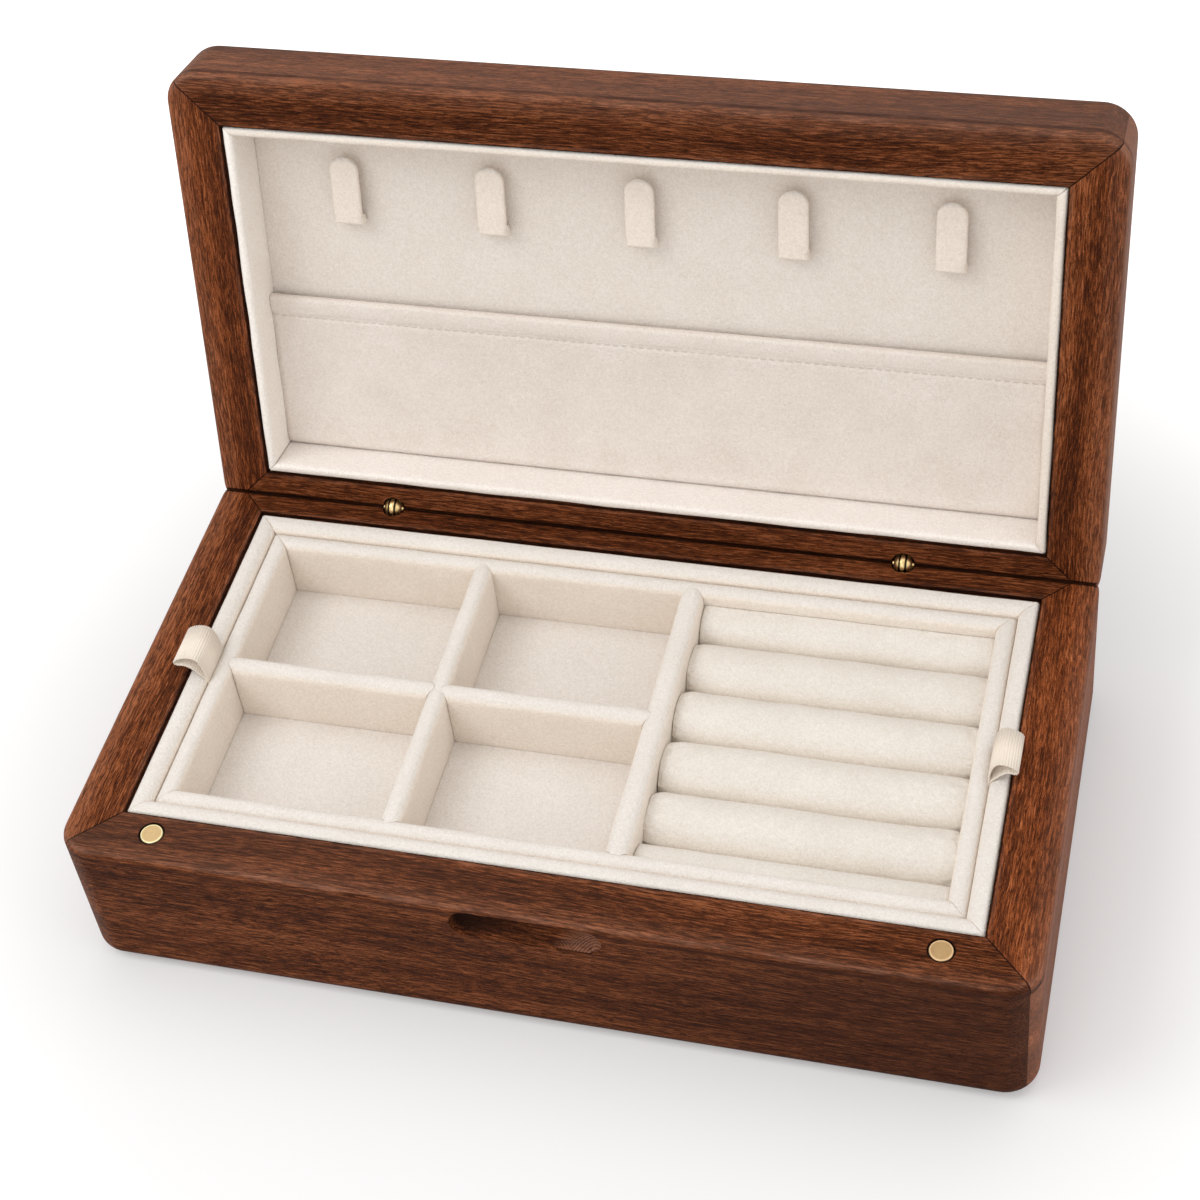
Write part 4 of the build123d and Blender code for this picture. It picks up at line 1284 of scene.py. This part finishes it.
class DISPLAYBOX_OT_make_tabs(bpy.types.Operator):
    """Makes the five padded tabs that stand off the lid's board"""

    bl_idname = "display_box.make_tabs"
    bl_label = "Make the Tabs"

    def execute(self, context):
        cloth = cloth_of("wall", context.scene.display_box)
        for number in range(1, 6):
            low, high = lid_box(f"lid_hook_{number}")
            rings = tab_rings(low, high)
            points = np.concatenate(rings)
            in_front = points[:, 2] < low[2] + TAB_THICK
            points[:, 2] -= ripple(points, 11 * MM, 0.05 * MM, 110 + number) * in_front
            faces = tube_faces(len(rings), TAB_RING)
            tab = mesh_piece(f"velvet_tab_{number}", lid_place(points), faces, cloth)
            settle_padded(tab, "lid", f"lid_hook_{number}")
        return {"FINISHED"}


# ---- Ribbons --------------------------------------------------------------------------------------

RIBBON_PATH = (  # mm out from the tray's wall and up from its rim, after the tail's end
    (0.0, -0.4), (0.1, 2.6), (0.6, 5.8), (1.6, 8.4), (3.4, 9.6), (6.2, 9.35), (8.6, 8.2), (9.7, 7.2),
    (9.95, 6.5), (9.6, 5.9), (8.7, 5.75), (6.6, 5.9), (4.2, 4.7), (2.0, 2.4), (0.75, 0.9), (0.5, 0.0),
    (0.5, -3.0),
)
RIBBON_STRETCH = {"left": (1.0, 1.0), "right": (0.80, 0.92)}      # of each loop's reach and height
RIBBON_THICK = 0.42 * MM
RIBBON_OUT = 0.25 * MM        # from the wall's solid to the middle of the ribbon
RIB_HEIGHT = 0.13 * MM
RIB_SAMPLES = 0.167           # from one point of a rib to the next, as a share of the pitch


def ribbon_cloth(look):
    """Grosgrain: a dull silk sheen, fine threads along the ribbon."""
    material, tree, shader = new_material("cream_grosgrain")
    spot = tree.spot()
    x, y, z = tree.parts(spot)
    threads = tree.noise(tree.join(x * 500, y * 5200, z * 500), 1.0, 2.0)
    soil = tree.noise(spot, 260.0, 3.0)
    color = tree.mix(threads * 0.5 + soil * 0.4, toned(look.ribbon, 0.88), toned(look.ribbon, 1.06))
    plug(tree, shader, Base_Color=color, Roughness=0.58, Specular_IOR_Level=0.35, Sheen_Weight=0.15,
         Normal=bump(tree, threads, 0.00004))
    return material


class DISPLAYBOX_OT_fold_ribbons(bpy.types.Operator):
    """Folds the two ribbed ribbon pulls of the tray"""

    bl_idname = "display_box.fold_ribbons"
    bl_label = "Fold the Ribbon Pulls"

    def execute(self, context):
        look = context.scene.display_box
        cloth = ribbon_cloth(look)
        for side, sign in (("left", -1), ("right", 1)):
            low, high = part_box(f"ribbon_pull_{side}")
            edge = high.x if sign < 0 else low.x
            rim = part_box(f"tray_wall_{side}")[1].z
            tail = edge + sign * RIBBON_OUT
            reach, height = RIBBON_STRETCH[side]
            path = [
                (tail + sign * (out if out < 2 else 2 + (out - 2) * reach) * MM,
                 rim + (up * height if up > 0 else up) * MM)
                for out, up in ((0.0, (low.z - rim) / MM), *RIBBON_PATH)
            ]
            ribbon, length = ribbed_ribbon(f"ribbon_{side}", path, (low.y, high.y), look, cloth)
            settle(ribbon, "tray", "ribbon", f"ribbon_pull_{side}")
            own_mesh(ribbon)
        return {"FINISHED"}


def smooth_path(path, steps=8):
    """A Catmull-Rom curve through the points of a path, in so many steps from each to the next."""
    smooth = []
    spots = [np.array(spot) for spot in (path[0], *path, path[-1])]
    for p0, p1, p2, p3 in zip(spots, spots[1:], spots[2:], spots[3:]):
        for t in np.linspace(0, 1, steps, endpoint=False):
            smooth.append(0.5 * (2 * p1 + (p2 - p0) * t + (2 * p0 - 5 * p1 + 4 * p2 - p3) * t**2
                                 + (3 * p1 - p0 - 3 * p2 + p3) * t**3))
    return [*smooth, spots[-1]]


def ribbed_ribbon(name, path, y_range, look, cloth):
    """A ribbon along a path in the XZ plane, its ribs raised by a geometry tree: (piece, its length)."""
    smooth = smooth_path(path)
    length = float(sum(np.linalg.norm(b - a) for a, b in zip(smooth, smooth[1:])))
    width = y_range[1] - y_range[0]
    inputs = {"Rib Pitch": look.rib_pitch, "Rib Height": RIB_HEIGHT, "Width": width, "Cloth": cloth}
    group, tree, value, settings = geometry_tree(f"{name} ribs", inputs)
    curve = tree.node("GeometryNodeMeshToCurve", None, {0: value["Geometry"]})
    fine = tree.node("GeometryNodeResampleCurve", {"mode": "LENGTH"},
                     {"Curve": curve, "Length": value["Rib Pitch"] * RIB_SAMPLES})
    run = tree.node("GeometryNodeSplineParameter", output="Length")
    normal = tree.vector("CROSS_PRODUCT", tree.node("GeometryNodeInputTangent"), (0, 1, 0))
    lift = (run / value["Rib Pitch"] * (2 * math.pi)).sine() * value["Rib Height"]
    raised = tree.vector("MULTIPLY", normal, tree.join(lift, lift, lift))
    ribbed = tree.node("GeometryNodeSetPosition", None, {"Geometry": fine, "Offset": raised})
    strip = tree.node("GeometryNodeCurveToMesh", None, {"Curve": ribbed})
    wide = tree.node("GeometryNodeExtrudeMesh", {"mode": "EDGES"},
                     {"Mesh": strip, "Offset": tree.join(0.0, 1.0, 0.0), "Offset Scale": value["Width"]})
    close_tree(tree, wide, value["Cloth"])
    piece = grow(name, [(x, y_range[0], z) for x, z in smooth], group, settings)
    piece.data.shade_smooth()
    thicken(piece, "ribbon thickness", RIBBON_THICK)
    return piece, length


# ---- Stage ----------------------------------------------------------------------------------------

CAMERA_PLACE = (0.17881, -0.47602, 0.64997)
CAMERA_AXES = (
    (0.963067, 0.247322, -0.106462),
    (-0.101779, 0.700419, 0.706437),
    (0.249286, -0.669511, 0.699723),
)
CAMERA_LENS, CAMERA_SENSOR = 76.145, 36
CAMERA_SHIFT = (0.0333, -0.1)
LIGHTS = (  # name, place and size of each round light
    ("key", (-0.75, -0.40, 1.20), 0.8),
    ("top", (0.20, 0.35, 1.6), 1.4),
    ("front", (-0.25, -1.30, 0.80), 1.0),
    ("side", (1.30, -0.25, 0.75), 1.2),
)
LIGHTS_AIM = (0, 0, 0.08)
FLOOR_HALF, FLOOR_LEVEL = 4, -0.3 * MM
WHITE = (1, 1, 1)


class DISPLAYBOX_OT_set_stage(bpy.types.Operator):
    """Sets the floor, the lights and the camera"""

    bl_idname = "display_box.set_stage"
    bl_label = "Set the Stage"

    def execute(self, context):
        scene = context.scene
        look = scene.display_box
        signs = ((-1, -1), (1, -1), (1, 1), (-1, 1))
        corners = [(x * FLOOR_HALF, y * FLOOR_HALF, FLOOR_LEVEL) for x, y in signs]
        mesh_piece("studio_floor", corners, [(0, 1, 2, 3)], floor_paint(), smooth=False)
        scene.world = studio_world(look)
        for name, place, size in LIGHTS:
            light = bpy.data.lights.new(name, "AREA")
            light.shape, light.size, light.energy = "DISK", size, getattr(look, f"{name}_power")
            lamp = new_object(name, light)
            lamp.location = place
            lamp.rotation_euler = (Vector(LIGHTS_AIM) - Vector(place)).to_track_quat("-Z", "Y").to_euler()
        data = bpy.data.cameras.new("camera")
        data.lens, data.sensor_width = CAMERA_LENS, CAMERA_SENSOR
        data.shift_x, data.shift_y = CAMERA_SHIFT
        scene.camera = new_object("camera", data)
        axes = Matrix(CAMERA_AXES).transposed().to_4x4()
        scene.camera.matrix_world = Matrix.Translation(CAMERA_PLACE) @ axes
        scene.view_settings.view_transform = "Standard"
        return {"FINISHED"}


def floor_paint():
    """A pale floor that shows white where no shadow falls."""
    material, tree, shader = new_material("studio_floor")
    seen = tree.node("ShaderNodeLightPath", output="Is Camera Ray")
    away = tree.vector("LENGTH", tree.spot(), output="Value").between(0.16, 0.38)
    glow = tree.mix((away * 0.42 + 0.20) * seen, (0, 0, 0), WHITE)
    plug(tree, shader, Base_Color=(0.66, 0.66, 0.67, 1), Roughness=1.0, Specular_IOR_Level=0.0,
         Emission_Color=glow, Emission_Strength=1.0)
    return material


def studio_world(look):
    """Even pale light from all round, white to the eye and in gloss."""
    world = bpy.data.worlds.new("studio")
    world.use_nodes = True
    tree = Tree(world.node_tree)
    tree.nodes.clear()
    path = tree.node("ShaderNodeLightPath", output="Is Camera Ray")
    direct = path.most(path.of("Is Transmission Ray")).most(path.of("Is Glossy Ray"))
    color = tree.mix(direct, look.fill_light, WHITE)
    background = tree.node("ShaderNodeBackground", None, {"Color": color, "Strength": 1.0})
    tree.end("ShaderNodeOutputWorld", background.socket)
    return world


# ---- Panel and settings ---------------------------------------------------------------------------


def color_property(name, description, default):
    """A colour of the settings."""
    return FloatVectorProperty(name=name, description=description, default=default, size=3, subtype="COLOR",
                               min=0, max=1)


def length_property(name, description, default, least=0.0):
    """A length of the settings."""
    return FloatProperty(name=name, description=description, default=default, min=least, subtype="DISTANCE",
                         unit="LENGTH")


def power_property(name, description, default):
    """The power of a light."""
    return FloatProperty(name=name, description=description, default=default, min=0, unit="POWER")


class DisplayBoxLook(bpy.types.PropertyGroup):
    """Colours and sizes of the box's finishes"""

    walnut_dark: color_property("Walnut Dark", "Dark streaks of the oiled walnut", (0.032, 0.0080, 0.0028))
    walnut_mid: color_property("Walnut", "Main colour of the oiled walnut", (0.129, 0.0328, 0.0088))
    walnut_light: color_property("Walnut Light", "Light streaks of the oiled walnut", (0.280, 0.090, 0.034))
    # also the colour of the painted sheen and highlights on the rails
    walnut_worn_and_sheen: color_property("Worn Walnut", "Worn edges of the rails", (0.33, 0.165, 0.112))
    velvet: color_property("Velvet", "Cream velvet", (0.825, 0.768, 0.716))
    ribbon: color_property("Ribbon", "Grosgrain ribbon", (0.825, 0.735, 0.632))
    felt: color_property("Felt", "Underside felt", (0.045, 0.024, 0.015))
    plywood: color_property("Plywood", "Bottom panel", (0.42, 0.26, 0.13))
    brass: color_property("Hinge Brass", "Brass of the hinges", (0.74, 0.53, 0.25))
    # the two caps are the same brass; the right one's darker colour is painted shade
    magnet_left: color_property("Left Magnet", "Brass of the left magnet's cap", (0.69, 0.49, 0.245))
    magnet_right_shaded: color_property("Right Magnet", "Brass of the right magnet's cap", (0.425, 0.275, 0.131))
    roll_fill: FloatProperty(name="Roll Fill", description="How tightly the ring rolls are stuffed",
                             default=0.85, min=0, max=1)
    pad_crown: length_property("Pad Crown", "Rise of a compartment pad at its middle", 0.15 * MM)
    stitch_pitch: length_property("Stitch Pitch", "From one stitch to the next", 2.8 * MM, least=0.5 * MM)
    rib_pitch: length_property("Rib Pitch", "From one rib to the next", 0.85 * MM, least=0.2 * MM)
    key_power: power_property("Key Light", "Power of the light from the left", 6.0)
    top_power: power_property("Top Light", "Power of the light from above", 3.8)
    front_power: power_property("Front Light", "Power of the soft light from the front", 2.3)
    side_power: power_property("Side Light", "Power of the soft light from the right", 2.0)
    fill_light: color_property("Fill Light", "Pale light from all round", (0.825, 0.808, 0.786))


STEPS = (
    DISPLAYBOX_OT_oil_walnut,
    DISPLAYBOX_OT_polish_brass,
    DISPLAYBOX_OT_finish_underside,
    DISPLAYBOX_OT_line_case,
    DISPLAYBOX_OT_wrap_tray,
    DISPLAYBOX_OT_lay_pads,
    DISPLAYBOX_OT_stuff_rolls,
    DISPLAYBOX_OT_line_lid,
    DISPLAYBOX_OT_sew_pocket,
    DISPLAYBOX_OT_make_tabs,
    DISPLAYBOX_OT_fold_ribbons,
    DISPLAYBOX_OT_set_stage,
)


class DISPLAYBOX_PT_steps(bpy.types.Panel):
    """Lists the steps that dress the box"""

    bl_idname = "DISPLAYBOX_PT_steps"
    bl_label = "Display Box"
    bl_space_type = "VIEW_3D"
    bl_region_type = "UI"
    bl_category = "Display Box"

    def draw(self, context):
        for step in STEPS:
            self.layout.operator(step.bl_idname)
        for name in DisplayBoxLook.__annotations__:
            self.layout.prop(context.scene.display_box, name)


CLASSES = (DisplayBoxLook, *STEPS, DISPLAYBOX_PT_steps)


def register():
    """Adds the settings, the steps and their panel to Blender."""
    for cls in CLASSES:
        bpy.utils.register_class(cls)
    bpy.types.Scene.display_box = PointerProperty(type=DisplayBoxLook)


def unregister():
    """Takes them out again."""
    del bpy.types.Scene.display_box
    for cls in reversed(CLASSES):
        bpy.utils.unregister_class(cls)


def main():
    """Runs every step."""
    register()
    for step in STEPS:
        group, name = step.bl_idname.split(".")
        if getattr(getattr(bpy.ops, group), name)() != {"FINISHED"}:
            raise RuntimeError(f"{step.bl_label} did not finish")


if __name__ == "__main__":
    main()
